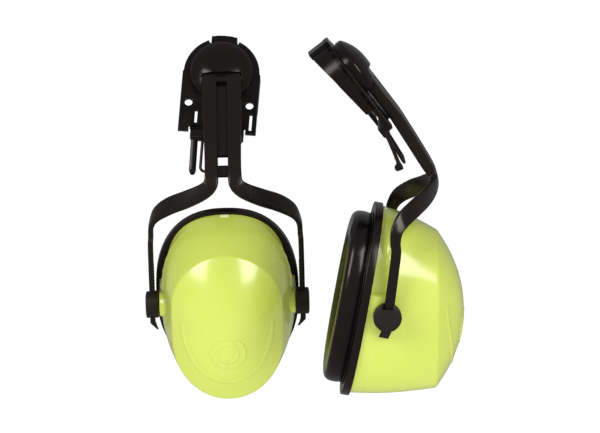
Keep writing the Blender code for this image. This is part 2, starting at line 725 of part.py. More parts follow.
def make_yoke_arm(prefix, top_frame, unit_frame):
    role = "yoke_arm"
    half_mesh = loft_mesh(f"{prefix}_{role}", band_rings(arm_samples(), 0.7 * MM))
    fold = hub_point(0.0, FOLD_Y, FOLD_Z)
    fold_frame = make_frame(f"{prefix}_fold_axis", unit_frame, fold)
    arm = part_object(prefix, role, half_mesh, fold_frame)
    arm.location = -fold
    first_out = PRONG_OUT / MM + PRONG_SLOPE * FIRST_TOOTH
    tooth_low = unit_point(PRONG_X / MM - 1.6, first_out, FIRST_TOOTH)
    tooth = rod_mesh(
        f"{prefix}_teeth", TOOTH_DEPTH, tooth_low + Vector((0, 4 * MM, 0)),
        tooth_low - Vector((0, 4 * MM, 0)), 4,
    )
    teeth = cutter_object(f"{prefix}_teeth", tooth, unit_frame)
    row = teeth.modifiers.new("row", "ARRAY")
    row.count = TOOTH_COUNT
    row.use_relative_offset = False
    row.use_constant_offset = True
    row.constant_offset_displace = (0.0, -PRONG_SLOPE * TOOTH_PITCH, TOOTH_PITCH)
    boolean(arm, teeth)
    mirror_x(arm)
    webs = [
        web_mesh(f"{prefix}_web", 83.4, 119.4, 0.4, -2.2),
        web_mesh(f"{prefix}_lower_web", 73.0, 78.2, 0.2, -2.0),
    ]
    for mesh in webs:
        boolean(arm, cutter_object(mesh.name, mesh, unit_frame), "UNION")
    low = (-WEB_HALF_WIDTH, FOLD_Y - 3.6 * MM, FOLD_Z + 2.4 * MM)
    high = (WEB_HALF_WIDTH, FOLD_Y + 0.8 * MM, FOLD_Z + ARM_THICKNESS / 2 - 0.2 * MM)
    cover = box_mesh(f"{prefix}_spring_cover", low, high)
    boolean(arm, cutter_object(f"{prefix}_spring_cover", cover, top_frame), "UNION")
    for side in (-1, 1):
        start = (side * (GROOVE_HALF_WIDTH + BARREL_INSET), FOLD_Y, FOLD_Z)
        end = (side * (ARM_HALF_WIDTH - BARREL_INSET), FOLD_Y, FOLD_Z)
        name = f"{prefix}_knuckle_{side}"
        knuckle = rod_mesh(name, BARREL_RADIUS, start, end, 20)
        boolean(arm, cutter_object(name, knuckle, top_frame), "UNION")
    reach = ARM_HALF_WIDTH + 2 * MM
    bore = rod_mesh(
        f"{prefix}_arm_bore", PIN_RADIUS + GAP, (-reach, FOLD_Y, FOLD_Z), (reach, FOLD_Y, FOLD_Z), 16
    )
    boolean(arm, cutter_object(f"{prefix}_arm_bore", bore, top_frame))
    return arm


# Knobs


def knob_profile():
    edge = 0.9 * MM
    crown = KNOB_OUTER + 0.4 * MM
    profile = [(0.0, crown), (KNOB_RADIUS * 0.6, crown - 0.1 * MM), (KNOB_RADIUS - edge, KNOB_OUTER)]
    profile.append((KNOB_RADIUS, KNOB_OUTER - edge))
    profile.append((KNOB_RADIUS, KNOB_INNER))
    profile.append((STUB_RADIUS, KNOB_INNER))
    profile.append((STUB_RADIUS, STUB_END + 2.0 * MM))
    profile.append((STUB_NECK_RADIUS, STUB_END + 2.0 * MM))
    profile.append((STUB_NECK_RADIUS, STUB_END + 0.8 * MM))
    profile.append((STUB_RADIUS - 0.2 * MM, STUB_END + 0.8 * MM))
    profile.append((STUB_RADIUS - 0.6 * MM, STUB_END))
    profile.append((0.0, STUB_END))
    return profile


def make_knob(prefix, role, side, frame):
    """A round knob with a slot for the prong and a stub that the cup turns on."""
    knob = turned_object(prefix, role, knob_profile(), frame, steps=18)
    knob.rotation_euler = (0.0, side * math.pi / 2, 0.0)
    half = PRONG_THICKNESS / 2 + GAP
    reach = PRONG_WIDTH / 2 + GAP
    low = (side * PRONG_X - half, -reach, -12 * MM)
    slot = box_mesh(f"{prefix}_{role}_slot", low, (side * PRONG_X + half, reach, 12 * MM))
    cutter = cutter_object(f"{prefix}_{role}_slot", slot, frame)
    cutter.location = (0.0, -0.3 * MM, 0.0)
    cutter.rotation_euler = (math.atan(PRONG_SLOPE), 0.0, 0.0)
    boolean(knob, cutter)
    xs = sorted((side * PRONG_X, side * 50 * MM))
    notch = box_mesh(f"{prefix}_{role}_notch", (xs[0], -reach, 4.6 * MM), (xs[1], reach, 12 * MM))
    boolean(knob, cutter_object(f"{prefix}_{role}_notch", notch, frame))
    return knob


def make_pivot_clip(prefix, role, side, frame):
    """A split washer on the stub's neck, inside the cup wall."""
    near = STUB_END + 1.05 * MM
    far = STUB_END + 1.75 * MM
    inner = STUB_NECK_RADIUS + GAP
    profile = [(CLIP_RADIUS, far), (CLIP_RADIUS, near), (inner, near), (inner, far)]
    clip = turned_object(prefix, role, profile, frame, steps=16)
    clip.rotation_euler = (0.0, side * math.pi / 2, 0.0)
    split = box_mesh(f"{prefix}_{role}_gap", (-60 * MM, -1.2 * MM, -8 * MM), (60 * MM, 1.2 * MM, 0))
    boolean(clip, cutter_object(f"{prefix}_{role}_gap", split, frame))
    return clip


# Cup


def cup_point(x, out, up):
    return Vector((x, -out, up))


def rim_half_width(up):
    """Half the plateau's width at a height above its middle."""
    upper = RIM_HALF_HEIGHT - RIM_HALF_WIDTH
    if up > upper:
        return math.sqrt(max(RIM_HALF_WIDTH ** 2 - (up - upper) ** 2, 0.0))
    if up > -RIM_TAPER_START:
        return RIM_HALF_WIDTH
    share = (-RIM_TAPER_START - up) / (RIM_HALF_HEIGHT - RIM_TAPER_START)
    return RIM_HALF_WIDTH * math.sqrt(max(1.0 - share * share, 0.0))


def rim_point(angle, share=1.0, rise=0.0):
    """A point of the plateau's outline, drawn in towards its middle and raised by the dome."""
    up = RIM_HALF_HEIGHT * math.sin(angle)
    x = math.copysign(rim_half_width(up), math.cos(angle))
    if abs(math.cos(angle)) < 0.001:
        x = 0.0
    across = Vector((x * share, 0.0, up * share))
    across.y = -rise
    turned = Matrix.Rotation(-RIM_TILT, 4, "X") @ across
    return turned + cup_point(0.0, RIM_OUT, RIM_MIDDLE)


def shell_rings(points):
    angles = [2 * math.pi * i / points for i in range(points)]
    base = []
    for angle in angles:
        x, z = oval(SHELL_HALF_WIDTH, SHELL_HALF_HEIGHT, angle)
        base.append(cup_point(x, FLANGE_FRONT + SHELL_BASE_RISE, z))
    rim = [rim_point(angle) for angle in angles]
    rings = []
    wall_steps = 4
    for step in range(wall_steps):
        share = step / wall_steps
        bulge = 1.0 + WALL_BULGE * math.sin(math.pi * share)
        ring = []
        for low, high in zip(base, rim):
            point = low.lerp(high, share)
            middle = cup_point(0.0, -point.y, RIM_MIDDLE * share)
            ring.append(middle + (point - middle) * bulge)
        rings.append(ring)
    for share in (1.0, 0.88, 0.62, 0.3):
        rise = DOME_HEIGHT * (1.0 - share ** DOME_POWER)
        rings.append([rim_point(angle, share, rise) for angle in angles])
    return rings


def make_cup_shell(prefix, frame):
    role = "cup_shell"
    rings = shell_rings(SHELL_POINTS)
    shape = bmesh.new()
    rows = [[shape.verts.new(point) for point in ring] for ring in rings]
    for low, high in zip(rows, rows[1:]):
        for i in range(len(low)):
            j = (i + 1) % len(low)
            shape.faces.new((low[i], low[j], high[j], high[i]))
    top = shape.verts.new(rim_point(0.0, 0.0, DOME_HEIGHT))
    for i in range(len(rows[-1])):
        shape.faces.new((rows[-1][i], rows[-1][(i + 1) % len(rows[-1])], top))
    bmesh.ops.recalc_face_normals(shape, faces=shape.faces)
    if sum(face.normal.y for face in shape.faces) > 0.0:
        bmesh.ops.reverse_faces(shape, faces=shape.faces)
    bmesh.ops.triangulate(shape, faces=shape.faces)
    mesh = bpy.data.meshes.new(f"{prefix}_{role}")
    shape.to_mesh(mesh)
    shape.free()
    shell = part_object(prefix, role, mesh, frame)
    solidify(shell, SHELL_WALL)
    for side in (-1, 1):
        start = (side * BOSS_ROOT, 0, 0)
        name = f"{prefix}_boss_{side}"
        boss = rod_mesh(name, BOSS_RADIUS, start, (side * BOSS_FACE, 0, 0), 18)
        boolean(shell, cutter_object(name, boss, frame), "UNION")
        name = f"{prefix}_boss_block_{side}"
        xs = sorted((side * BLOCK_INNER, side * BLOCK_OUTER))
        block = box_mesh(name, (xs[0], *BLOCK_LOW), (xs[1], *BLOCK_HIGH))
        boolean(shell, cutter_object(name, block, frame), "UNION")
        name = f"{prefix}_boss_bore_{side}"
        bore = rod_mesh(name, STUB_RADIUS + GAP, (side * 28 * MM, 0, 0), (side * 40 * MM, 0, 0), 12)
        boolean(shell, cutter_object(name, bore, frame))
    return shell


def oval_ring_mesh(name, section, points):
    """A ring whose section is a list of (half width, half height, outward) around an oval."""
    rings = []
    for i in range(points):
        angle = 2 * math.pi * i / points
        ring = []
        for half_width, half_height, out in section:
            x, z = oval(half_width, half_height, angle)
            ring.append(cup_point(x, out, z))
        rings.append(ring)
    return loft_mesh(name, rings, closed=True)


def make_back_plate(prefix, frame):
    role = "back_plate"
    w = FLANGE_HALF_WIDTH
    h = FLANGE_HALF_HEIGHT
    edge = 0.8 * MM
    section = [
        (w - edge, h - edge, FLANGE_BACK), (w, h, FLANGE_BACK + edge), (w, h, FLANGE_FRONT - edge),
        (w - edge, h - edge, FLANGE_FRONT), (EAR_HALF_WIDTH, EAR_HALF_HEIGHT, FLANGE_FRONT),
        (EAR_HALF_WIDTH, EAR_HALF_HEIGHT, FLANGE_BACK),
    ]
    mesh = oval_ring_mesh(f"{prefix}_{role}", section, SHELL_POINTS)
    return part_object(prefix, role, mesh, frame)


def make_cushion_cover(prefix, frame):
    """The cushion's skin: a ring-shaped channel, open where it meets the flange."""
    role = "cushion_cover"
    w = CUSHION_HALF_WIDTH
    h = CUSHION_HALF_HEIGHT
    back = FLANGE_BACK - GAP
    iw = EAR_HALF_WIDTH - CUSHION_INNER_LIP
    ih = EAR_HALF_HEIGHT - CUSHION_INNER_LIP
    face = CUSHION_FACE
    shoulder = face + 1.6 * MM
    middle = face + 5.6 * MM
    path = [
        (w - 0.8 * MM, h - 0.8 * MM, back), (w, h, middle), (w - 1.4 * MM, h - 1.4 * MM, shoulder),
        (w - 4.2 * MM, h - 4.2 * MM, face), (iw + 3.6 * MM, ih + 3.6 * MM, face),
        (iw + 0.8 * MM, ih + 0.8 * MM, shoulder), (iw, ih, middle), (iw + 0.4 * MM, ih + 0.4 * MM, back),
    ]
    shape = bmesh.new()
    points = 22
    rows = []
    for i in range(points):
        angle = 2 * math.pi * i / points
        row = []
        for half_width, half_height, out in path:
            x, z = oval(half_width, half_height, angle)
            row.append(shape.verts.new(cup_point(x, out, z)))
        rows.append(row)
    for i in range(points):
        low = rows[i]
        high = rows[(i + 1) % points]
        for j in range(len(path) - 1):
            shape.faces.new((low[j], low[j + 1], high[j + 1], high[j]))
    bmesh.ops.recalc_face_normals(shape, faces=shape.faces)
    inward = [face for face in shape.faces if face.calc_center_median().y > SEAL_LEVEL]
    if sum(face.normal.y for face in inward) < 0.0:
        bmesh.ops.reverse_faces(shape, faces=shape.faces)
    mesh = bpy.data.meshes.new(f"{prefix}_{role}")
    shape.to_mesh(mesh)
    shape.free()
    cover = part_object(prefix, role, mesh, frame)
    solidify(cover, CUSHION_SKIN)
    return cover


def make_cushion_foam(prefix, frame):
    role = "cushion_foam"
    skin = CUSHION_SKIN + 0.5 * MM
    w = CUSHION_HALF_WIDTH - skin - 1.2 * MM
    h = CUSHION_HALF_HEIGHT - skin - 1.2 * MM
    iw = EAR_HALF_WIDTH - CUSHION_INNER_LIP + skin + 1.0 * MM
    ih = EAR_HALF_HEIGHT - CUSHION_INNER_LIP + skin + 1.0 * MM
    back = FLANGE_BACK - GAP
    front = CUSHION_FACE + skin
    ease = 2.4 * MM
    section = [
        (w, h, back), (w, h, front + ease), (w - ease, h - ease, front),
        (iw + ease, ih + ease, front), (iw, ih, front + ease), (iw, ih, back),
    ]
    mesh = oval_ring_mesh(f"{prefix}_{role}", section, 24)
    return part_object(prefix, role, mesh, frame)


def make_cup_foam(prefix, frame):
    """The block of sound-absorbing foam that fills the far half of the shell."""
    role = "cup_foam"
    points = 24
    clear = Vector((0.0, FOAM_CLEARANCE, 0.0))
    angles = [2 * math.pi * i / points for i in range(points)]
    base = []
    for angle in angles:
        x, z = oval(FOAM_HALF_WIDTH, FOAM_HALF_HEIGHT, angle, 2.0)
        base.append(cup_point(x, FOAM_FLOOR, z))
    rings = [base]
    for share in (0.88, 0.62, 0.32):
        rise = DOME_HEIGHT * (1.0 - share ** DOME_POWER)
        rings.append([rim_point(angle, share, rise) + clear for angle in angles])
    mesh = loft_mesh(f"{prefix}_{role}", rings)
    return part_object(prefix, role, mesh, frame)


# Units


def make_unit(prefix, pose, spot):
    """One muff. spot is where its swivel centre stands in the world."""
    turn = Matrix.Rotation(math.radians(pose["yaw"]), 4, "Z")
    turn = turn @ Matrix.Rotation(math.radians(pose["lean"]), 4, "Y")
    turn = turn @ Matrix.Rotation(math.radians(pose["pitch"]), 4, "X")
    place = Vector(spot) - turn @ SWIVEL_CENTRE
    unit = make_frame(f"{prefix}_unit", None, place, turn.to_euler())
    arm_top = make_frame(f"{prefix}_arm_top", unit, SWIVEL_CENTRE, (PLATE_ANGLE, 0.0, 0.0))
    fold = hub_point(0.0, FOLD_Y, FOLD_Z)
    folding = math.radians(pose["fold"])
    centre = fold + Matrix.Rotation(folding, 4, "X") @ (SWIVEL_CENTRE - fold)
    hub = make_frame(f"{prefix}_swivel_axis", unit, centre, (PLATE_ANGLE + folding, 0.0, 0.0))
    adapter = make_frame(f"{prefix}_adapter", hub, (0, 0, 0), (0, 0, math.radians(pose["swivel"])))
    lever = make_frame(f"{prefix}_lever_axis", adapter, LEVER_ROOT, (LEVER_TILT, 0.0, 0.0))
    knobs = make_frame(f"{prefix}_knob_axis", unit, SLIDE_LINE * pose["height"])
    cup = make_frame(f"{prefix}_cup_axis", knobs, (0, 0, 0), (math.radians(pose["tilt"]), 0.0, 0.0))
    make_adapter_plate(prefix, adapter)
    make_slot_blade(prefix, adapter)
    make_spring_catch(prefix, adapter)
    make_release_lever(prefix, lever)
    make_swivel_hub(prefix, hub)
    make_hub_snap_ring(prefix, hub)
    make_fold_pin(prefix, hub)
    make_fold_spring(prefix, hub)
    make_yoke_arm(prefix, arm_top, unit)
    for role, side in (("front", -1), ("rear", 1)):
        make_knob(prefix, f"{role}_knob", side, knobs)
        make_pivot_clip(prefix, f"{role}_pivot_clip", side, knobs)
    make_cup_shell(prefix, cup)
    make_back_plate(prefix, cup)
    make_cushion_cover(prefix, cup)
    make_cushion_foam(prefix, cup)
    make_cup_foam(prefix, cup)


def place_pair():
    """Move both units so that the left one's helmet side passes through the world origin."""
    bpy.context.view_layer.update()
    face = Vector((0.0, HELMET_FACE_Y, -adapter_depth(HELMET_FACE_Y)))
    shift = bpy.data.objects["left_adapter"].matrix_world @ face
    for name in ("left_unit", "right_unit"):
        bpy.data.objects[name].location -= shift


make_unit("left", LEFT_POSE, (0.0, 0.0, 0.0))
make_unit("right", RIGHT_POSE, (PAIR_WIDTH, -PAIR_DEPTH, PAIR_RISE))
place_pair()
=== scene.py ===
"""The looks of a pair of helmet-mounted earmuffs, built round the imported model.

Every piece is drawn in a local frame of its unit (unit, arm, hub, knobs, adapter, lever or cup)
and is then moved into the row frame. The frames come from the record's joints and mounts.
"""
import json
import math

import bmesh
import bpy
from mathutils import Matrix, Vector, noise


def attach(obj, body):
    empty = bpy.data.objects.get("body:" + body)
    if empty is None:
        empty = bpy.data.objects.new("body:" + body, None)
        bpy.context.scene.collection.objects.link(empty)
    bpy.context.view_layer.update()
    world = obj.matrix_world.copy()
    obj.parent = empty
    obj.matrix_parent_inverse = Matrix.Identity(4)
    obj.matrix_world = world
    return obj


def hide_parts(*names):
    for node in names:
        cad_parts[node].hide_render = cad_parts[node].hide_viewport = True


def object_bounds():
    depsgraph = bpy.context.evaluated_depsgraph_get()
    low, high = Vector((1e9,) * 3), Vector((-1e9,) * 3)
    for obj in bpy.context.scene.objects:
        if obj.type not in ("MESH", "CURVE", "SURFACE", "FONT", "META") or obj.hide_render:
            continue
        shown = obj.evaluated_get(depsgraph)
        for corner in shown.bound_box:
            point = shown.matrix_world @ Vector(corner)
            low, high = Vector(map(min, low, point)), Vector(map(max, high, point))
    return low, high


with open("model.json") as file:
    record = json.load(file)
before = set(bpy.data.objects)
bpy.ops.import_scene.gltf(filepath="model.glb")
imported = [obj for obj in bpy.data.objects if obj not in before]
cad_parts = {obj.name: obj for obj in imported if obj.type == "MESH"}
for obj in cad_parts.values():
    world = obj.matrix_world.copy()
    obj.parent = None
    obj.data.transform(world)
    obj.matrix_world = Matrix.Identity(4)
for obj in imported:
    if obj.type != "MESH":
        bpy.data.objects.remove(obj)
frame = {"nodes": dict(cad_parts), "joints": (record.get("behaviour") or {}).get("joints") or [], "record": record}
CAD_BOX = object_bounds()

MM = 0.001
GAP = 0.3 * MM
MERGE = 0.001 * MM
SIDES = ("left", "right")
JOINTS = {joint["name"]: joint for joint in frame["joints"]}
MOUNTS = {mount["name"]: mount for mount in frame["record"]["mounts"]}

# Sizes shared with the solids
PRONG_SLOPE = 0.125
LOWEST_KNOB = -1.0 * MM
PLATE_ANGLE = math.radians(52.4)
SWIVEL_CENTRE = Vector((0.0, 17.8 * MM, 124.7 * MM))
FOLD_Y = -4.2 * MM
FOLD_Z = 4.4 * MM
ARM_HALF_WIDTH = 10.6 * MM
ARM_THICKNESS = 6.4 * MM
GROOVE_HALF_WIDTH = 2.6 * MM
STRAP_WIDTH = 9.6 * MM
STRAP_THICKNESS = 2.8 * MM
PRONG_X = 41.0 * MM
PRONG_WIDTH = 5.3 * MM
PRONG_THICKNESS = 2.9 * MM
RIM_OUT = 27.4 * MM
RIM_MIDDLE = 1.6 * MM
RIM_HALF_HEIGHT = 42.4 * MM
RIM_HALF_WIDTH = 30.0 * MM
RIM_TILT = math.radians(10.0)
DOME_HEIGHT = 14.6 * MM
DOME_POWER = 2.1
OVAL_POWER = 2.38
SHELL_HALF_WIDTH = 37.3 * MM
SHELL_HALF_HEIGHT = 50.3 * MM
FLANGE_HALF_WIDTH = 39.0 * MM
FLANGE_HALF_HEIGHT = 52.0 * MM
FLANGE_FRONT = -10.6 * MM
FLANGE_BACK = -15.0 * MM
EAR_HALF_WIDTH = 19.0 * MM
EAR_HALF_HEIGHT = 29.5 * MM
CUSHION_FACE = -25.4 * MM
CUSHION_HALF_WIDTH = 33.6 * MM
CUSHION_CROWN = 2.3 * MM
CUSHION_HALF_HEIGHT = 46.6 * MM
KNOB_RADIUS = 7.5 * MM
KNOB_INNER = 37.5 * MM
KNOB_OUTER = 44.4 * MM
STUB_END = 31.0 * MM
SLOT_REACH = 12.0 * MM
HUB_RADIUS = 16.9 * MM
HUB_RIM = 4.6 * MM
HUB_CROWN = 10.1 * MM
HUB_NECK = 9.0 * MM
HUB_FOOT = -1.2 * MM
SNAP_GROOVE = 8.0 * MM
GROOVE_TOP = -3.3 * MM
GROOVE_LOW = -4.5 * MM
NECK_END = -5.4 * MM
PLATE_HALF_WIDTH = 21.3 * MM
PLATE_TOP_RADIUS = 20.8 * MM
PLATE_THICKNESS = 3.0 * MM
LEG_END = -34.4 * MM
LEG_INNER = 15.5 * MM
WALL = 2.2 * MM
WALL_END = -20.5 * MM
TAB_HALF_WIDTH = 7.0 * MM
TAB_TOP = 22.3 * MM
ADAPTER_DEPTH_TOP = 12.8 * MM
ADAPTER_DEPTH_MIDDLE = 9.0 * MM
ADAPTER_DEPTH_END = 6.8 * MM
BLADE_HALF_WIDTH = 10.4 * MM
BLADE_END = -30.0 * MM
NOTCH_START = 66.5
NOTCH_DEPTH = 3.2 * MM
NOTCH_WIDTH = 0.9 * MM
HOLE_X = 16.7 * MM
HOLE_Y = -17.8 * MM
HOLE_RADIUS = 2.2 * MM
NECK_HOLE = 9.3 * MM
SLOT_HALF_WIDTH = 0.75 * MM
BAIL_LEFT = -7.6 * MM
BAIL_RIGHT = 12.7 * MM
BAIL_ROOT = -36.0 * MM
BAIL_END = -55.3 * MM
BAIL_BEND = 2.4 * MM
BAIL_WIRE = 0.8 * MM
BAIL_TILT = math.radians(6.0)
CATCH_HALF_WIDTH = 14.6 * MM
TONGUE_TILT = math.radians(15.0)


# Local frames


def matrix_from(origin, x, y, z):
    columns = [Vector(v).normalized() for v in (x, y, z)]
    turn = Matrix(columns).transposed().to_4x4()
    return Matrix.Translation(Vector(origin)) @ turn


def side_frames(side):
    """The local frames of one unit, as matrices into the row frame."""
    tilt = JOINTS[f"{side}_tilt"]
    height = JOINTS[f"{side}_height"]
    press = JOINTS[f"{side}_lever_press"]
    centre = JOINTS[f"{side}_swivel"]["pos_m"]
    x = Vector(tilt["axis"]).normalized()
    line = Vector(height["axis"]).normalized()
    slope = math.atan(PRONG_SLOPE)
    up = line * math.cos(slope) - x.cross(line) * math.sin(slope)
    back = up.cross(x)
    knobs = Vector(tilt["pos_m"])
    raised = LOWEST_KNOB - height["range_m"][0]
    unit = matrix_from(knobs - line * raised, x, back, up)
    adapter_x = -Vector(press["axis"])
    adapter_y = Vector(MOUNTS[f"{side}_helmet_slot"]["axis"])
    out = adapter_x.cross(adapter_y)
    seal = Vector(MOUNTS[f"{side}_seal_face"]["axis"])
    return {
        "unit": unit,
        "arm": unit @ Matrix.Translation(SWIVEL_CENTRE) @ Matrix.Rotation(PLATE_ANGLE, 4, "X"),
        "hub": matrix_from(centre, x, out.cross(x), out),
        "knobs": matrix_from(knobs, x, back, up),
        "adapter": matrix_from(centre, adapter_x, adapter_y, out),
        "lever": matrix_from(press["pos_m"], adapter_x, adapter_y, out),
        "cup": matrix_from(knobs, x, seal, x.cross(seal)),
    }


FRAMES = {side: side_frames(side) for side in SIDES}


# Materials


def set_inputs(node, inputs):
    """Set a node's inputs by name, with an underscore for each space."""
    for key, value in inputs.items():
        node.inputs[key.replace("_", " ")].default_value = value


class Nodes:
    """A short way to add and join nodes of one material."""

    def __init__(self, name):
        self.material = bpy.data.materials.new(name)
        self.material.use_nodes = True
        self.tree = self.material.node_tree
        self.shader = self.tree.nodes["Principled BSDF"]
        self.coord = self.add("ShaderNodeTexCoord").outputs["Object"]

    def add(self, kind, **inputs):
        node = self.tree.nodes.new(kind)
        set_inputs(node, inputs)
        return node

    def join(self, output, socket):
        self.tree.links.new(output, socket)

    def noise(self, scale, detail=3.0, roughness=0.55, distortion=0.0, stretch=None):
        node = self.add(
            "ShaderNodeTexNoise", Scale=scale, Detail=detail, Roughness=roughness, Distortion=distortion,
        )
        source = self.coord
        if stretch:
            mapping = self.add("ShaderNodeMapping", Scale=stretch)
            self.join(self.coord, mapping.inputs["Vector"])
            source = mapping.outputs["Vector"]
        self.join(source, node.inputs["Vector"])
        return node.outputs["Fac"]

    def voronoi(self, scale):
        node = self.add("ShaderNodeTexVoronoi", Scale=scale)
        self.join(self.coord, node.inputs["Vector"])
        return node.outputs["Distance"]

    def ramp(self, source, low, high, start=0.0, end=1.0):
        node = self.add("ShaderNodeMapRange", From_Min=start, From_Max=end, To_Min=low, To_Max=high)
        self.join(source, node.inputs["Value"])
        return node.outputs["Result"]

    def colours(self, source, stops):
        node = self.add("ShaderNodeValToRGB")
        ramp = node.color_ramp
        ramp.elements[0].position = stops[0][0]
        ramp.elements[0].color = (*stops[0][1], 1.0)
        ramp.elements[1].position = stops[-1][0]
        ramp.elements[1].color = (*stops[-1][1], 1.0)
        for position, colour in stops[1:-1]:
            ramp.elements.new(position).color = (*colour, 1.0)
        self.join(source, node.inputs["Fac"])
        return node.outputs["Color"]

    def bumps(self, layers):
        """Bump layers of (height source, strength, distance in metres)."""
        normal = None
        for source, strength, distance in layers:
            node = self.add("ShaderNodeBump", Strength=strength, Distance=distance)
            self.join(source, node.inputs["Height"])
            if normal is not None:
                self.join(normal, node.inputs["Normal"])
            normal = node.outputs["Normal"]
        self.join(normal, self.shader.inputs["Normal"])

    def finish(self, source, stops, gloss, layers, **inputs):
        """Colour stops over a source, roughness, bump layers and fixed inputs of the shader."""
        self.join(self.colours(source, stops), self.shader.inputs["Base Color"])
        self.join(gloss, self.shader.inputs["Roughness"])
        self.bumps(layers)
        set_inputs(self.shader, inputs)
        return self.material


def scaled(colour, factor):
    return tuple(min(channel * factor, 1.0) for channel in colour)


WARM = (1.0, 0.90, 0.85, 1.0)
WHITE = (1.0, 1.0, 1.0, 1.0)


def moulded_plastic(name, colour, roughness, specular, grain=0.25, spread=0.06):
    """Moulded plastic: fine texture, faint flow marks and slightly uneven gloss."""
    nodes = Nodes(name)
    cloud = nodes.noise(38.0, 4.0, 0.6)
    flow = nodes.noise(60.0, 3.0, 0.5, 0.6, (1.0, 1.0, 0.18))
    fine = nodes.noise(2600.0, 2.0, 0.6)
    stops = [(0.3, scaled(colour, 0.9)), (0.5, colour), (0.72, scaled(colour, 1.1))]
    gloss = nodes.ramp(flow, roughness - spread, roughness + spread, 0.3, 0.7)
    layers = [(fine, grain, 0.00003), (flow, 0.10, 0.00012)]
    return nodes.finish(cloud, stops, gloss, layers, Specular_IOR_Level=specular, Specular_Tint=WARM)


def gloss_shell(name, colour, deep):
    """Glossy dyed plastic with a faint orange-peel surface and a clear skin."""
    nodes = Nodes(name)
    cloud = nodes.noise(26.0, 3.0, 0.5)
    peel = nodes.noise(420.0, 2.0, 0.45)
    speck = nodes.noise(3800.0, 1.0, 0.5)
    stops = [(0.30, deep), (0.52, colour), (0.78, scaled(colour, 1.05))]
    gloss = nodes.ramp(cloud, 0.25, 0.33, 0.3, 0.7)
    layers = [(peel, 0.10, 0.00010), (speck, 0.10, 0.00002)]
    return nodes.finish(
        cloud, stops, gloss, layers, Specular_IOR_Level=0.5, Coat_Weight=0.9, Coat_Roughness=0.17,
    )


def film(name, colour):
    """Soft PVC film over foam: glossy, with a very fine grain and slack ripples."""
    nodes = Nodes(name)
    cloud = nodes.noise(45.0, 3.0, 0.5)
    ripple = nodes.noise(110.0, 3.0, 0.55, 0.8)
    grain = nodes.voronoi(1500.0)
    stops = [(0.3, scaled(colour, 0.8)), (0.7, scaled(colour, 1.3))]
    gloss = nodes.ramp(ripple, 0.15, 0.24, 0.3, 0.7)
    layers = [(grain, 0.15, 0.00003), (ripple, 0.12, 0.0003)]
    return nodes.finish(cloud, stops, gloss, layers, Specular_IOR_Level=0.38, Specular_Tint=WARM)


def foam(name, colour):
    """Open-cell foam: small pits, with painted shade darkening each pit and a lighter rim round it."""
    nodes = Nodes(name)
    cells = nodes.voronoi(900.0)
    small = nodes.noise(2200.0, 3.0, 0.7)
    # Painted shade: the colour follows the pits' depth, darkest at the bottom of each pit.
    stops = [(0.05, scaled(colour, 0.45)), (0.35, colour), (0.8, scaled(colour, 1.2))]
    layers = [(cells, 0.9, 0.0005), (small, 0.5, 0.0002)]
    return nodes.finish(cells, stops, nodes.ramp(small, 0.85, 1.0), layers, Specular_IOR_Level=0.2)


def spring_steel(name):
    """Drawn steel: fine lines along the wire and small dark marks."""
    nodes = Nodes(name)
    lines = nodes.noise(900.0, 4.0, 0.6, 0.0, (1.0, 1.0, 0.08))
    cloud = nodes.noise(140.0, 3.0, 0.6)
    stops = [(0.3, (0.42, 0.42, 0.43)), (0.7, (0.62, 0.62, 0.63))]
    layers = [(lines, 0.25, 0.00003)]
    return nodes.finish(cloud, stops, nodes.ramp(lines, 0.22, 0.42), layers, Metallic=1.0)


def studio_floor(name):
    """A pale light table: matte, slightly uneven and faintly lit from below."""
    nodes = Nodes(name)
    cloud = nodes.noise(0.7, 2.0, 0.5)
    stops = [(0.3, (0.93, 0.93, 0.93)), (0.7, (0.97, 0.97, 0.97))]
    return nodes.finish(
        cloud, stops, nodes.ramp(cloud, 0.85, 0.95), [(cloud, 0.05, 0.001)],
        Emission_Color=WHITE, Emission_Strength=TABLE_GLOW, Specular_IOR_Level=0.1,
    )


SHELL_GREEN = (0.61, 0.71, 0.108)
SHELL_DEEP = (0.58, 0.69, 0.098)
TABLE_GLOW = 0.76
MATERIALS = {
    "shell": gloss_shell("hi_vis_shell", SHELL_GREEN, SHELL_DEEP),
    "pale": gloss_shell("pale_tab", (0.80, 0.84, 0.48), (0.76, 0.81, 0.42)),
    "adapter": moulded_plastic("adapter_black", (0.0045, 0.0038, 0.0036), 0.24, 0.26),
    "hub": moulded_plastic("hub_black", (0.0045, 0.0038, 0.0036), 0.17, 0.34, 0.12),
    "arm": moulded_plastic("arm_black", (0.0062, 0.0050, 0.0045), 0.21, 0.42, 0.22),
    "knob": moulded_plastic("knob_black", (0.0125, 0.0105, 0.0098), 0.46, 0.30, 0.8, 0.05),
    "flange": moulded_plastic("flange_black", (0.0055, 0.0046, 0.0040), 0.24, 0.36, 0.16),
    "lever": moulded_plastic("lever_black", (0.0070, 0.0058, 0.0055), 0.24, 0.38),
    "film": film("cushion_film", (0.0045, 0.0038, 0.0038)),
    "seam": moulded_plastic("seam_black", (0.0075, 0.0065, 0.0065), 0.30, 0.35),
    "cup_foam": foam("cup_foam", (0.040, 0.040, 0.040)),
    "steel": spring_steel("spring_steel"),
}


# Mesh helpers


def add_object(name, data):
    item = bpy.data.objects.new(name, data)
    bpy.context.scene.collection.objects.link(item)
    return item


def place(unit, name, mesh, where, material, roles, adds=False, sharp=35.0):
    """Make a mesh, drawn in one of a unit's frames, a piece that rides on that frame's body.

    It replaces the solids of the roles, or, with adds, leaves them shown and rides beside them.
    """
    mesh.transform(FRAMES[unit][where])
    mesh.materials.clear()
    mesh.materials.append(MATERIALS[material])
    mesh.shade_smooth()
    if sharp is not None:
        mesh.set_sharp_from_angle(angle=math.radians(sharp))
    item = add_object(f"{unit}_{name}", mesh)
    bodies = {"adapter": "helmet_adapters", "unit": f"{unit}_arm"}
    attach(item, bodies.get(where, f"{unit}_{where}"))
    if not adds:
        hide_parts(*(f"{unit}_{role}" for role in roles))
    return item


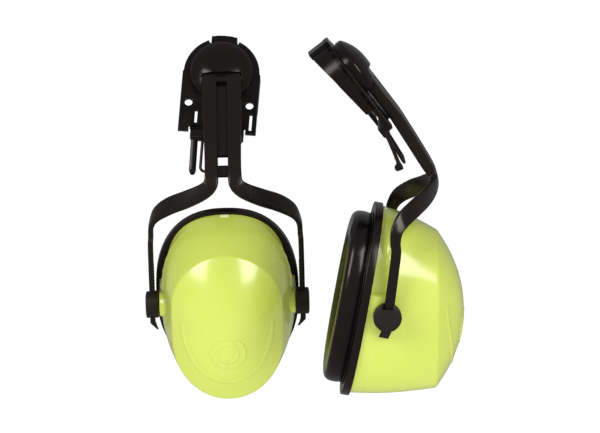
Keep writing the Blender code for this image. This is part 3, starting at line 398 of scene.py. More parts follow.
def bevel(item, width, segments=2, angle=35.0):
    modifier = item.modifiers.new("edges", "BEVEL")
    modifier.width = width
    modifier.segments = segments
    modifier.limit_method = "ANGLE"
    modifier.angle_limit = math.radians(angle)


def bmesh_to_mesh(shape, name):
    bmesh.ops.recalc_face_normals(shape, faces=shape.faces)
    mesh = bpy.data.meshes.new(name)
    shape.to_mesh(mesh)
    shape.free()
    return mesh


def loft_into(shape, rings, closed=False, caps=True):
    """Join rings of points with faces, round to the first ring or with a cap at each end."""
    rows = [[shape.verts.new(point) for point in ring] for ring in rings]
    pairs = list(zip(rows, rows[1:]))
    if closed:
        pairs.append((rows[-1], rows[0]))
    for low, high in pairs:
        count = len(low)
        for i in range(count):
            j = (i + 1) % count
            shape.faces.new((low[i], low[j], high[j], high[i]))
    if caps and not closed:
        shape.faces.new(list(reversed(rows[0])))
        shape.faces.new(rows[-1])
    return rows


def loft(name, rings, closed=False):
    shape = bmesh.new()
    loft_into(shape, rings, closed)
    return bmesh_to_mesh(shape, name)


def lathe(name, profile, steps=64, axis="Z", sign=1.0):
    """A form turned from (radius, height) pairs that start and end on its axis, Z or X.

    With axis X, a sign of -1 turns it about -X.
    """
    rings = []
    for i in range(steps):
        angle = 2 * math.pi * i / steps
        c = math.cos(angle)
        s = math.sin(angle)
        if axis == "Z":
            rings.append([Vector((r * c, r * s, h)) for r, h in profile])
        else:
            rings.append([Vector((sign * h, r * c, r * s)) for r, h in profile])
    shape = bmesh.new()
    loft_into(shape, rings, closed=True)
    bmesh.ops.remove_doubles(shape, verts=shape.verts, dist=MERGE)
    return bmesh_to_mesh(shape, name)


def box(name, low, high):
    shape = bmesh.new()
    bmesh.ops.create_cube(shape, size=1.0)
    size = [b - a for a, b in zip(low, high)]
    middle = [(a + b) / 2 for a, b in zip(low, high)]
    bmesh.ops.scale(shape, vec=size, verts=shape.verts)
    bmesh.ops.translate(shape, vec=middle, verts=shape.verts)
    return bmesh_to_mesh(shape, name)


def evaluated_mesh(item):
    bpy.context.view_layer.update()
    graph = bpy.context.evaluated_depsgraph_get()
    return bpy.data.meshes.new_from_object(item.evaluated_get(graph))


def plate(name, outlines, bottom, top, edge=0.35 * MM):
    """A flat plate with rounded edges; the first outline is its border, the others are holes."""
    curve = bpy.data.curves.new(name, "CURVE")
    curve.dimensions = "2D"
    curve.fill_mode = "BOTH"
    curve.extrude = (top - bottom) / 2 - edge
    curve.bevel_depth = edge
    curve.bevel_resolution = 2
    curve.offset = -edge
    for outline in outlines:
        spline = curve.splines.new("POLY")
        spline.points.add(len(outline) - 1)
        for point, (x, y) in zip(spline.points, outline):
            point.co = (x, y, 0.0, 1.0)
        spline.use_cyclic_u = True
    source = add_object(name, curve)
    mesh = evaluated_mesh(source)
    bpy.data.objects.remove(source, do_unlink=True)
    shape = bmesh.new()
    shape.from_mesh(mesh)
    bmesh.ops.remove_doubles(shape, verts=shape.verts, dist=MERGE)
    bmesh.ops.translate(shape, vec=(0.0, 0.0, (top + bottom) / 2), verts=shape.verts)
    return bmesh_to_mesh(shape, name)


def join_meshes(name, meshes):
    shape = bmesh.new()
    for mesh in meshes:
        shape.from_mesh(mesh)
    mesh = bpy.data.meshes.new(name)
    shape.to_mesh(mesh)
    shape.free()
    return mesh


def cut(mesh, cutters):
    """The mesh less other meshes, all in the same frame."""
    body = add_object("cut_body", mesh)
    tools = [add_object("cut_tool", cutter) for cutter in cutters]
    for tool in tools:
        modifier = body.modifiers.new("cut", "BOOLEAN")
        modifier.operation = "DIFFERENCE"
        modifier.solver = "EXACT"
        modifier.object = tool
    result = evaluated_mesh(body)
    for item in [body, *tools]:
        bpy.data.objects.remove(item, do_unlink=True)
    result.name = mesh.name
    return result


def run_direction(path, i):
    """The way an open path runs at one of its points."""
    return (path[min(i + 1, len(path) - 1)] - path[max(i - 1, 0)]).normalized()


def tube(name, path, radius, sides=12):
    """A round wire along points that lie near the frame's XY plane."""
    turns = [2 * math.pi * k / sides for k in range(sides)]
    rings = []
    for i, point in enumerate(path):
        along = run_direction(path, i)
        side = along.cross(Vector((0.0, 0.0, 1.0))).normalized()
        deep = along.cross(side).normalized()
        rings.append([point + (side * math.cos(a) + deep * math.sin(a)) * radius for a in turns])
    return loft(name, rings)


def oval(half_width, half_height, angle, power=OVAL_POWER):
    c = math.cos(angle)
    s = math.sin(angle)
    x = half_width * math.copysign(abs(c) ** (2 / power), c)
    z = half_height * math.copysign(abs(s) ** (2 / power), s)
    return x, z


def arc(centre, radius, start, end, steps):
    angles = [math.radians(start + (end - start) * i / steps) for i in range(steps + 1)]
    return [(centre[0] + radius * math.cos(a), centre[1] + radius * math.sin(a)) for a in angles]


def rectangle(left, right, low, high):
    return [(left, low), (right, low), (right, high), (left, high)]


def chamfered(half, low, high, soft):
    """A rectangle from -half to half and from low to high, with its corners cut."""
    return [
        (-half, low + soft), (-half + soft, low), (half - soft, low), (half, low + soft),
        (half, high - soft), (half - soft, high), (-half + soft, high), (-half, high - soft),
    ]


def smooth_step(low, high, value):
    t = min(max((value - low) / (high - low), 0.0), 1.0)
    return t * t * (3 - 2 * t)


def smooth_path(knots, steps):
    """Catmull-Rom values through tuples of numbers."""
    result = []
    last = len(knots) - 1
    for i in range(last):
        a = knots[max(i - 1, 0)]
        b = knots[i]
        c = knots[i + 1]
        d = knots[min(i + 2, last)]
        for step in range(steps):
            t = step / steps
            values = []
            for p, q, r, s in zip(a, b, c, d):
                value = 2 * q + (r - p) * t + (2 * p - 5 * q + 4 * r - s) * t * t
                value += (3 * q - p - 3 * r + s) * t * t * t
                values.append(value / 2)
            result.append(values)
    result.append(list(knots[-1]))
    return result


# Cup


AROUND = 216
CREST_SHARE = 0.955
WALL_SHARES = [0.0, 0.012, 0.03, *(0.055 + 0.025 * k for k in range(10)), 0.31, 0.35, 0.42]
WALL_SHARES += [0.5, 0.6, 0.7, 0.8, 0.9, CREST_SHARE]
DOME_SHARES = [CREST_SHARE, 0.91, 0.86, 0.8, 0.74, 0.68, *(0.61 - 0.07 * k for k in range(8)), 0.06]
CREST_ROUND = 0.9 * MM
CREST_STEPS = 6
WALL_BULGE = 0.03
RIM_TAPER_START = 6.8 * MM
LIP_WIDTH_SHARE = 0.93
LIP_HEIGHT_SHARE = 0.945
RECESS_DEPTH = 3.0 * MM
RECESS_HALF_WIDTH = 26.0 * MM
RECESS_LEDGE = 9.6 * MM
RECESS_LEDGE_TOP = 10.5 * MM
RECESS_FADE_START = 14.0 * MM
RECESS_FADE_END = 50.0 * MM
RECESS_BORDER = -1.1 * MM
RECESS_BORDER_UP = 12.0 * MM
RECESS_BORDER_SLOPE = 0.17
OUTLINE_STEPS = 720
BOSS_RADIUS = 6.85 * MM
BOSS_END = 37.15 * MM
BOSS_ROOT = 31.5 * MM
LINE_WIDTH = 2.9 * MM
LINE_HEIGHT = 0.55 * MM
RING_CENTRE = -8.7 * MM
RING_RADII = (9.2 * MM, 5.6 * MM)
RING_WIDTH = 2.0 * MM
RING_HEIGHT = 0.42 * MM


def cup_point(x, out, up):
    return Vector((x, -out, up))


def rim_half_width(up):
    """Half the plateau's width at a height: a half circle, straight sides, then a half ellipse."""
    upper = RIM_HALF_HEIGHT - RIM_HALF_WIDTH
    if up > upper:
        return math.sqrt(max(RIM_HALF_WIDTH ** 2 - (up - upper) ** 2, 0.0))
    if up > -RIM_TAPER_START:
        return RIM_HALF_WIDTH
    share = (-RIM_TAPER_START - up) / (RIM_HALF_HEIGHT - RIM_TAPER_START)
    return RIM_HALF_WIDTH * math.sqrt(max(1.0 - share * share, 0.0))


def plateau_point(x, up, rise):
    """A point of the dome: x and up in the plateau's plane, rise square to it."""
    turned = Matrix.Rotation(-RIM_TILT, 4, "X") @ Vector((x, -rise, up))
    return turned + cup_point(0.0, RIM_OUT, RIM_MIDDLE)


def rim_point(angle, share=1.0):
    up = RIM_HALF_HEIGHT * math.sin(angle)
    x = math.copysign(rim_half_width(up), math.cos(angle))
    if abs(math.cos(angle)) < 0.001:
        x = 0.0
    rise = DOME_HEIGHT * (1.0 - share ** DOME_POWER)
    return plateau_point(x * share, up * share, rise)


def recess_depth(out, up):
    """How far the wall is set in beside the flange, above each boss."""
    top = 1.0 - smooth_step(RECESS_FADE_START, RECESS_FADE_END, up)
    depth = RECESS_DEPTH * smooth_step(RECESS_LEDGE, RECESS_LEDGE_TOP, up) * top
    border = RECESS_BORDER - RECESS_BORDER_SLOPE * (up - RECESS_BORDER_UP)
    return depth * (1.0 - smooth_step(border - 1.0 * MM, border + 0.1 * MM, out))


def wall_point(angle, share):
    """A point of the shell's wall, with share 0 at the flange and 1 at the crest."""
    x, z = oval(SHELL_HALF_WIDTH, SHELL_HALF_HEIGHT, angle)
    low = cup_point(x, FLANGE_FRONT + 0.1 * MM, z)
    point = low.lerp(rim_point(angle), share)
    middle = cup_point(0.0, -point.y, RIM_MIDDLE * share)
    point = middle + (point - middle) * (1.0 + WALL_BULGE * math.sin(math.pi * share))
    inward = recess_depth(-point.y, point.z) * min(abs(point.x) / RECESS_HALF_WIDTH, 1.0)
    point.x -= math.copysign(inward, point.x)
    return point


def crest_row(angles, t):
    """A row of the rounded crest, between the wall at t 0 and the dome at t 1."""
    row = []
    for angle in angles:
        rim = rim_point(angle)
        before = (wall_point(angle, CREST_SHARE) - rim).normalized() * CREST_ROUND
        after = (rim_point(angle, CREST_SHARE) - rim).normalized() * CREST_ROUND
        row.append(rim + before * (1 - t) ** 2 + after * t ** 2)
    return row


def shell_mesh():
    """The wall, the rounded crest and the dome, with a lip behind the flange's edge."""
    angles = [2 * math.pi * (i + 0.5) / AROUND for i in range(AROUND)]
    base = [wall_point(angle, 0.0) for angle in angles]
    rows = [[Vector((p.x * LIP_WIDTH_SHARE, p.y, p.z * LIP_HEIGHT_SHARE)) for p in base]]
    rows += [[wall_point(angle, share) for angle in angles] for share in WALL_SHARES]
    rows += [crest_row(angles, step / CREST_STEPS) for step in range(1, CREST_STEPS)]
    rows += [[rim_point(angle, share) for angle in angles] for share in DOME_SHARES]
    shape = bmesh.new()
    made = loft_into(shape, rows, caps=False)
    top = shape.verts.new(rim_point(0.0, 0.0))
    for i in range(AROUND):
        shape.faces.new((made[-1][i], made[-1][(i + 1) % AROUND], top))
    return bmesh_to_mesh(shape, "shell")


def outline_table():
    """Pairs of (direction, radius) round the plateau's outline."""
    table = []
    for i in range(OUTLINE_STEPS + 1):
        angle = -math.pi + 2 * math.pi * i / OUTLINE_STEPS
        up = RIM_HALF_HEIGHT * math.sin(angle)
        x = math.copysign(rim_half_width(up), math.cos(angle))
        table.append((math.atan2(up, x), math.hypot(x, up)))
    return sorted(table)


OUTLINE = outline_table()


def outline_radius(direction):
    for (a, low), (b, high) in zip(OUTLINE, OUTLINE[1:]):
        if a <= direction <= b:
            return low + (high - low) * ((direction - a) / (b - a) if b > a else 0.0)
    return OUTLINE[0][1]


def dome_point(x, up):
    radius = math.hypot(x, up)
    share = radius / outline_radius(math.atan2(up, x)) if radius > 0.0 else 0.0
    return plateau_point(x, up, DOME_HEIGHT * (1.0 - min(share, 1.0) ** DOME_POWER))


def dome_normal(x, up):
    step = 0.4 * MM
    along = dome_point(x + step, up) - dome_point(x - step, up)
    rising = dome_point(x, up + step) - dome_point(x, up - step)
    normal = along.cross(rising).normalized()
    return normal if normal.y < 0.0 else -normal


def ridge_mesh(name, path, width, height, closed=False):
    """A low rounded ridge on the dome, along points of the plateau's plane."""
    rings = []
    count = len(path)
    steps = 8
    for i, (x, up) in enumerate(path):
        before = path[(i - 1) % count] if closed or i else path[0]
        after = path[(i + 1) % count] if closed or i < count - 1 else path[-1]
        along = (dome_point(*after) - dome_point(*before)).normalized()
        normal = dome_normal(x, up)
        side = normal.cross(along).normalized()
        fade = 1.0
        if not closed:
            fade = smooth_step(0.0, 0.12, min(i, count - 1 - i) / (count - 1)) * 0.92 + 0.08
        centre = dome_point(x, up) - normal * 0.12 * MM
        ring = []
        for k in range(steps + 1):
            angle = math.pi * k / steps
            reach = side * (width / 2) * math.cos(angle)
            ring.append(centre + reach + normal * height * fade * math.sin(angle))
        rings.append(ring)
    return loft(name, rings, closed)


def boss_mesh(side):
    """The round boss the knob's stub turns in, flared where it meets the wall."""
    radius = BOSS_RADIUS
    profile = [
        (0.0, BOSS_END), (radius - 0.9 * MM, BOSS_END), (radius - 0.25 * MM, BOSS_END - 0.2 * MM),
        (radius, BOSS_END - 0.75 * MM), (radius, 34.6 * MM), (radius + 0.5 * MM, 33.7 * MM),
        (radius + 1.5 * MM, 33.0 * MM), (radius + 1.7 * MM, BOSS_ROOT), (0.0, BOSS_ROOT),
    ]
    return lathe("boss", profile, 56, "X", side)


def make_cup(unit):
    """The shell with its bosses, the raised line and rings on its dome, and the rim's tab."""
    meshes = [shell_mesh()] + [boss_mesh(side) for side in (-1, 1)]
    place(unit, "shell", join_meshes("shell", meshes), "cup", "shell", ["cup_shell"], sharp=50.0)
    line = [(24.9, 9.0), (24.7, 3.8), (22.8, -6.3), (18.8, -16.0), (13.4, -22.7), (6.6, -26.9)]
    mirrored = [(-x, up) for x, up in reversed(line)]
    knots = [(x * MM, up * MM) for x, up in line + [(0.0, -28.2)] + mirrored]
    raised = [ridge_mesh("line", smooth_path(knots, 8), LINE_WIDTH, LINE_HEIGHT)]
    for radius in RING_RADII:
        ring = arc((0.0, RING_CENTRE), radius, 0, 355, 71)
        raised.append(ridge_mesh("ring", ring, RING_WIDTH, RING_HEIGHT, True))
    place(unit, "dome_lines", join_meshes("lines", raised), "cup", "shell", ["cup_shell"], True)
    block = box("tab", (-2.5 * MM, 8.3 * MM, 48.2 * MM), (2.5 * MM, 10.2 * MM, 50.9 * MM))
    bevel(place(unit, "rim_tab", block, "cup", "pale", ["cup_shell"], True), 0.5 * MM, 3)


def oval_ring(section, points):
    rings = []
    for i in range(points):
        angle = 2 * math.pi * (i + 0.5) / points
        ring = []
        for half_width, half_height, out in section:
            x, z = oval(half_width, half_height, angle)
            ring.append(cup_point(x, out, z))
        rings.append(ring)
    return rings


def rounded_corner(corner, before, after, radius, steps=4):
    """Points of a quadratic round at a corner of a section of (width, height, out)."""
    corner = Vector(corner)
    a = corner + (Vector(before) - corner).normalized() * radius
    b = corner + (Vector(after) - corner).normalized() * radius
    points = []
    for i in range(steps + 1):
        t = i / steps
        points.append(tuple(a * (1 - t) ** 2 + corner * 2 * t * (1 - t) + b * t ** 2))
    return points


def rounded_section(corners, radii, steps=4):
    section = []
    count = len(corners)
    for i, (corner, radius) in enumerate(zip(corners, radii)):
        if radius <= 0.0:
            section.append(corner)
            continue
        section += rounded_corner(corner, corners[i - 1], corners[(i + 1) % count], radius, steps)
    return section


def make_flange(unit):
    """The flange that carries the shell in front and the cushion behind."""
    w = FLANGE_HALF_WIDTH
    h = FLANGE_HALF_HEIGHT
    ew = EAR_HALF_WIDTH
    eh = EAR_HALF_HEIGHT
    corners = [
        (w, h, FLANGE_BACK), (w, h, FLANGE_FRONT), (w - 2.0 * MM, h - 2.0 * MM, FLANGE_FRONT),
        (ew, eh, FLANGE_FRONT), (ew, eh, FLANGE_BACK), (w - 3.0 * MM, h - 3.0 * MM, FLANGE_BACK),
    ]
    radii = [0.45 * MM, 0.45 * MM, 0.0, 0.8 * MM, 0.8 * MM, 0.0]
    mesh = loft("flange", oval_ring(rounded_section(corners, radii, 3), 160), closed=True)
    place(unit, "flange", mesh, "cup", "flange", ["back_plate"])


# Cushion


CUSHION_AROUND = 132
CUSHION_STEP = 1.9 * MM
WELD_INSET = 0.9 * MM
SHOULDER_OUT = -18.5 * MM
CLOTH_STEPS = 12
CLOTH_PRESSURE = 3.0
CLOTH_LIMIT = 1.0 * MM
GATHER_OVAL = (33.0, 46.0)
GATHER_START = -20.5 * MM
GATHER_END = -16.0 * MM
GATHER_COUNT = 13.0
GATHER_DRIFT = 60.0
INNER_GATHER = 0.40 * MM
OUTER_GATHER = 0.10 * MM
INNER_HALF_WIDTH = 24.0 * MM
INNER_HALF_HEIGHT = 35.0 * MM
SLACK_SCALE = 45.0
SLACK_DEPTH = 0.14 * MM
SEAM_RADIUS = 0.38 * MM
EAR_FOAM_HALF_WIDTH = 27.0 * MM
EAR_FOAM_HALF_HEIGHT = 39.0 * MM


def cushion_section():
    """The pad's section before it is inflated, as (half width, half height, out)."""
    w = CUSHION_HALF_WIDTH - 0.5 * MM
    h = CUSHION_HALF_HEIGHT - 0.5 * MM
    iw = EAR_HALF_WIDTH - WELD_INSET
    ih = EAR_HALF_HEIGHT - WELD_INSET
    back = FLANGE_BACK - 0.1 * MM
    face = CUSHION_FACE + 0.5 * MM
    crown = ((w + iw) / 2 + 1.0 * MM, (h + ih) / 2 + 1.0 * MM, face - CUSHION_CROWN)
    corners = [
        (w - 0.6 * MM, h - 0.6 * MM, back), (w, h, SHOULDER_OUT), (w, h, face + 0.3 * MM), crown,
        (iw, ih, face + 1.2 * MM), (iw, ih, back),
    ]
    radii = [0.0, 1.0 * MM, 4.0 * MM, 7.0 * MM, 3.6 * MM, 0.0]
    section = [Vector(point) for point in rounded_section(corners, radii, 5)]
    dense = []
    for a, b in zip(section, section[1:] + section[:1]):
        parts = max(1, round((b - a).length / CUSHION_STEP))
        dense += [tuple(a.lerp(b, k / parts)) for k in range(parts)]
    return dense


def inflate(mesh, pinned_out):
    """Blow the ring up a little with cloth, holding the edge that is welded to the flange."""
    item = add_object("cushion_cloth", mesh)
    start = [v.co.copy() for v in mesh.vertices]
    group = item.vertex_groups.new(name="held")
    group.add([v.index for v in mesh.vertices if -v.co.y > pinned_out], 1.0, "REPLACE")
    cloth = item.modifiers.new("cloth", "CLOTH")
    settings = cloth.settings
    settings.vertex_group_mass = "held"
    settings.use_pressure = True
    settings.uniform_pressure_force = CLOTH_PRESSURE
    settings.mass = 0.15
    settings.tension_stiffness = 40.0
    settings.compression_stiffness = 40.0
    settings.bending_stiffness = 2.0
    settings.effector_weights.gravity = 0.0
    cloth.collision_settings.use_collision = False
    cloth.point_cache.frame_start = 1
    cloth.point_cache.frame_end = CLOTH_STEPS
    scene = bpy.context.scene
    for step in range(CLOTH_STEPS):
        scene.frame_set(step + 1)
    result = evaluated_mesh(item)
    for vertex, old in zip(result.vertices, start):
        move = vertex.co - old
        if move.length > CLOTH_LIMIT:
            vertex.co = old + move * (CLOTH_LIMIT / move.length)
    bpy.data.objects.remove(item, do_unlink=True)
    scene.frame_set(1)
    return result


def pucker(mesh):
    """Small gathers where the film is drawn in to its welded edges."""
    for vertex in mesh.vertices:
        x, y, z = vertex.co
        out = -y
        angle = math.atan2(z / GATHER_OVAL[1], x / GATHER_OVAL[0])
        near = smooth_step(GATHER_START, GATHER_END, out)
        inner = abs(x) < INNER_HALF_WIDTH and abs(z) < INNER_HALF_HEIGHT
        around = (math.cos(angle) * GATHER_COUNT, math.sin(angle) * GATHER_COUNT, out * GATHER_DRIFT)
        depth = (INNER_GATHER if inner else OUTER_GATHER) * near * noise.noise(Vector(around))
        slack = noise.noise(vertex.co * SLACK_SCALE) * SLACK_DEPTH
        length = math.hypot(x, z)
        push = (depth + slack) * (-1.0 if inner else 1.0)
        vertex.co.x += x / length * push
        vertex.co.z += z / length * push


def cushion_mesh():
    mesh = loft("cushion", oval_ring(cushion_section(), CUSHION_AROUND), closed=True)
    mesh = inflate(mesh, FLANGE_BACK - 1.6 * MM)
    pucker(mesh)
    return mesh


def seam_mesh(half_width, half_height):
    """A welded bead round an oval, where the film meets the flange."""
    section = []
    for k in range(10):
        angle = 2 * math.pi * k / 10
        reach = SEAM_RADIUS * math.cos(angle)
        out = FLANGE_BACK - 0.42 * MM + SEAM_RADIUS * math.sin(angle)
        section.append((half_width + reach, half_height + reach, out))
    return loft("seam", oval_ring(section, 140), closed=True)


def make_cushion(unit, source):
    """The film ring over its foam, with a welded seam at each edge."""
    roles = ["cushion_cover", "cushion_foam"]
    pad = place(unit, "cushion", source.copy(), "cup", "film", roles, sharp=None)
    subdivision = pad.modifiers.new("smooth", "SUBSURF")
    subdivision.levels = 1
    subdivision.render_levels = 1
    seams = [
        seam_mesh(CUSHION_HALF_WIDTH - 0.2 * MM, CUSHION_HALF_HEIGHT - 0.2 * MM),
        seam_mesh(EAR_HALF_WIDTH - WELD_INSET + 0.2 * MM, EAR_HALF_HEIGHT - WELD_INSET + 0.2 * MM),
    ]
    place(unit, "cushion_seams", join_meshes("seams", seams), "cup", "seam", ["cushion_cover"], True)


def make_ear_foam(unit):
    """The foam that shows through the cushion's hole, dished and pitted."""
    rings = []
    for share in (1.0, 0.985, 0.9, 0.7, 0.45, 0.2):
        out = -2.2 * MM if share < 1.0 else 1.5 * MM
        ring = []
        for i in range(96):
            angle = 2 * math.pi * i / 96
            x, z = oval(EAR_FOAM_HALF_WIDTH * share, EAR_FOAM_HALF_HEIGHT * share, angle, 2.0)
            lump = noise.noise(Vector((x * 120.0, 0.0, z * 120.0))) * 0.5 * MM
            ring.append(cup_point(x, out + lump - 1.0 * MM * (1 - share), z))
        rings.append(ring)
    place(unit, "ear_foam", loft("ear_foam", rings), "cup", "cup_foam", ["cup_foam"], sharp=40.0)


# Arm


STRAIGHT_FROM = 13
PRONG_OUT = 0.3
PRONG_TIP = (PRONG_X / MM - 2.3, -1.95, -11.2)
ARM_EDGE = 0.8 * MM
KNUCKLE_RADIUS = 3.35 * MM
KNUCKLE_ROOM = 3.7 * MM
WEB_HALF_WIDTH = GROOVE_HALF_WIDTH + 0.6 * MM
WEB_TILT = math.radians(55.0)
TOOTH_COUNT = 16
TOOTH_PITCH = 1.8 * MM
FIRST_TOOTH = -3.0


def unit_point(x, out, up):
    return Vector((x * MM, -out * MM, up * MM))


def hub_point(x, y, z):
    turn = Matrix.Rotation(PLATE_ANGLE, 4, "X")
    return SWIVEL_CENTRE + turn @ Vector((x, y, z))


def band_section(centre, along, wide, width, thickness):
    """A section with rounded corners, its width along wide, square to the path."""
    wide = (wide - along * wide.dot(along)).normalized()
    deep = along.cross(wide).normalized()
    c = min(ARM_EDGE, thickness * 0.38)
    ring = []
    for cx, cy, start in ((1, 1, 0), (-1, 1, 90), (-1, -1, 180), (1, -1, 270)):
        for k in range(4):
            angle = math.radians(start + 30 * k)
            a = cx * (width / 2 - c) + c * math.cos(angle)
            b = cy * (thickness / 2 - c) + c * math.sin(angle)
            ring.append(centre + wide * a + deep * b)
    return ring


def arm_knots():
    """Points of one half of the fork, as (place, direction of the width, width, thickness)."""
    bar = ARM_HALF_WIDTH - GROOVE_HALF_WIDTH
    bar_x = (ARM_HALF_WIDTH + GROOVE_HALF_WIDTH) / 2
    low_bar = bar - 0.7 * MM
    sideways = (1.0, 0.0, 0.0)
    outward = (0.0, 1.0, 0.0)
    start = hub_point(bar_x, FOLD_Y, FOLD_Z)
    face = hub_point(bar_x, -32.0 * MM, FOLD_Z - 0.2 * MM)
    knots = [(*start, *sideways, bar, ARM_THICKNESS), (*face, *sideways, bar, ARM_THICKNESS)]
    turning = [
        (6.35, 13.7, 88.3, sideways, low_bar, ARM_THICKNESS),
        (6.3, 21.7, 75.4, sideways, low_bar, 6.0 * MM),
        (6.9, 25.3, 68.9, (0.95, 0.1, 0.3), 7.9 * MM, 4.4 * MM),
        (11.0, 25.2, 64.8, (0.5, 0.2, 0.85), 8.8 * MM, STRAP_THICKNESS),
        (20.0, 21.2, 60.6, (0.2, 0.2, 0.95), STRAP_WIDTH, STRAP_THICKNESS),
        (29.5, 15.4, 56.8, (0.1, 0.25, 0.95), STRAP_WIDTH, STRAP_THICKNESS),
        (37.0, 8.8, 51.8, (0.0, 0.5, 0.86), 8.6 * MM, STRAP_THICKNESS),
        (40.2, 4.9, 45.6, (0.0, 0.9, 0.45), 6.5 * MM, STRAP_THICKNESS),
        (40.7, 4.1, 39.0, (0.0, 1.0, 0.05), 5.5 * MM, PRONG_THICKNESS),
    ]
    for up in (33.0, 10.0, -7.9):
        out = PRONG_OUT + PRONG_SLOPE * up
        turning.append((PRONG_X / MM, out, up, outward, PRONG_WIDTH, PRONG_THICKNESS))
    turning.append((*PRONG_TIP, outward, PRONG_WIDTH, 0.9 * MM))
    for x, out, up, wide, width, thickness in turning:
        knots.append((*unit_point(x, out, up), *wide, width, thickness))
    return knots


def arm_half():
    """Rings along one half of the fork: smooth to the prong, straight along it."""
    knots = arm_knots()
    samples = [knots[0], [(a + b) / 2 for a, b in zip(knots[0], knots[1])]]
    samples += smooth_path(knots[1:STRAIGHT_FROM], 7) + knots[STRAIGHT_FROM:]
    places = [Vector(sample[:3]) for sample in samples]
    rings = []
    for i, (centre, sample) in enumerate(zip(places, samples)):
        wide = Vector(sample[3:6])
        rings.append(band_section(centre, run_direction(places, i), wide, *sample[6:]))
    return rings


def arm_line(up):
    """How far out the middle of the bars lies at a height, both in millimetres."""
    top = hub_point(0.0, FOLD_Y, FOLD_Z) / MM
    face = hub_point(0.0, -32.0 * MM, FOLD_Z - 0.2 * MM) / MM
    line = [(top.z, -top.y), (face.z, -face.y), (88.3, 13.7), (75.4, 21.7), (68.9, 25.3)]
    for (high, near), (low, far) in zip(line, line[1:]):
        if up >= low:
            return near + (far - near) * (high - up) / (high - low)
    return line[-1][1]


def web_mesh(low, high, front, back):
    """A web between the two bars, from one height to another."""
    turn = Matrix.Rotation(WEB_TILT, 4, "X")
    half = WEB_HALF_WIDTH
    corners = rectangle(-half, half, back, front)
    rings = []
    steps = 8
    for i in range(steps + 1):
        up = high + (low - high) * i / steps
        centre = unit_point(0.0, arm_line(up), up)
        rings.append([centre + turn @ Vector((x, 0.0, z * MM)) for x, z in corners])
    return loft("web", rings)


def rack_mesh(side):
    """A row of fine ridges along the inner side of a prong."""
    line = Vector((0.0, -PRONG_SLOPE, 1.0)).normalized()
    across = Vector((0.0, 1.0, PRONG_SLOPE)).normalized()
    first = unit_point(PRONG_X / MM * side, PRONG_OUT + PRONG_SLOPE * FIRST_TOOTH, FIRST_TOOTH)
    first.x -= side * (PRONG_THICKNESS / 2 - 0.25 * MM)
    half = PRONG_WIDTH / 2 - 0.35 * MM
    profile = [line * -0.62 * MM, Vector((-side * 0.46 * MM, 0.0, 0.0)), line * 0.62 * MM]
    shape = bmesh.new()
    for k in range(TOOTH_COUNT):
        centre = first + line * TOOTH_PITCH * k
        loft_into(shape, [[centre + across * end + point for point in profile] for end in (-half, half)])
    return bmesh_to_mesh(shape, "teeth")


def knuckle_mesh(side, matrix):
    """The eye of one bar, round the fold pin."""
    inner = GROOVE_HALF_WIDTH + 0.2 * MM
    outer = ARM_HALF_WIDTH - 0.2 * MM
    edge = 0.3 * MM
    profile = [(0.0, inner), (KNUCKLE_RADIUS, inner), (KNUCKLE_RADIUS, outer - edge)]
    profile += [(KNUCKLE_RADIUS - edge, outer), (0.0, outer)]
    mesh = lathe("knuckle", profile, 40, "X", side)
    mesh.transform(matrix @ Matrix.Translation((0.0, FOLD_Y, FOLD_Z)))
    return mesh


def make_arm(unit):
    """The fork: two halves, two webs, the racks, the knuckles and the cover between them."""
    frames = FRAMES[unit]
    half = arm_half()
    other = [[Vector((-p.x, p.y, p.z)) for p in ring] for ring in half]
    meshes = [loft("half", half), loft("half", other)]
    meshes += [web_mesh(83.4, 122.4, 0.4, -2.2), web_mesh(73.0, 78.2, 0.2, -2.0)]
    meshes += [rack_mesh(side) for side in (-1, 1)]
    local = frames["unit"].inverted() @ frames["arm"]
    low = (-WEB_HALF_WIDTH, FOLD_Y - 4.6 * MM, FOLD_Z + 1.0 * MM)
    cover = box("cover", low, (WEB_HALF_WIDTH, FOLD_Y + 0.8 * MM, FOLD_Z + 3.1 * MM))
    cover.transform(local)
    meshes += [cover, *(knuckle_mesh(side, local) for side in (-1, 1))]
    place(unit, "fork", join_meshes("fork", meshes), "unit", "arm", ["yoke_arm"])


# Knobs


def make_knob(unit, role, side):
    """A crowned dial with a stub for the cup's boss and a slot for the prong."""
    edge = 0.8 * MM
    crown = KNOB_OUTER + 0.35 * MM
    profile = [(0.0, crown), (KNOB_RADIUS * 0.5, crown - 0.03 * MM), (KNOB_RADIUS * 0.8, crown - 0.15 * MM)]
    profile += arc((KNOB_RADIUS - edge, KNOB_OUTER - edge), edge, 90, 0, 5)
    profile += [(KNOB_RADIUS, 38.3 * MM), (KNOB_RADIUS - 0.25 * MM, 37.8 * MM)]
    profile += [(KNOB_RADIUS - 0.8 * MM, KNOB_INNER), (3.0 * MM, KNOB_INNER), (2.9 * MM, STUB_END)]
    profile.append((0.0, STUB_END))
    mesh = lathe("knob", profile, 72, "X", side)
    reach = PRONG_WIDTH / 2 + GAP
    half = PRONG_THICKNESS / 2 + GAP
    x = side * PRONG_X
    slot = box("slot", (x - half, -reach, -SLOT_REACH), (x + half, reach, SLOT_REACH))
    slant = Matrix.Rotation(math.atan(PRONG_SLOPE), 4, "X")
    slot.transform(Matrix.Translation((0.0, -PRONG_OUT * MM, 0.0)) @ slant)
    xs = sorted((x, side * 50 * MM))
    notch = box("notch", (xs[0], -reach, 4.6 * MM), (xs[1], reach, SLOT_REACH))
    mesh = cut(mesh, [slot, notch])
    place(unit, f"{role}_dial", mesh, "knobs", "knob", [f"{role}_knob"], sharp=40.0)


# Hub


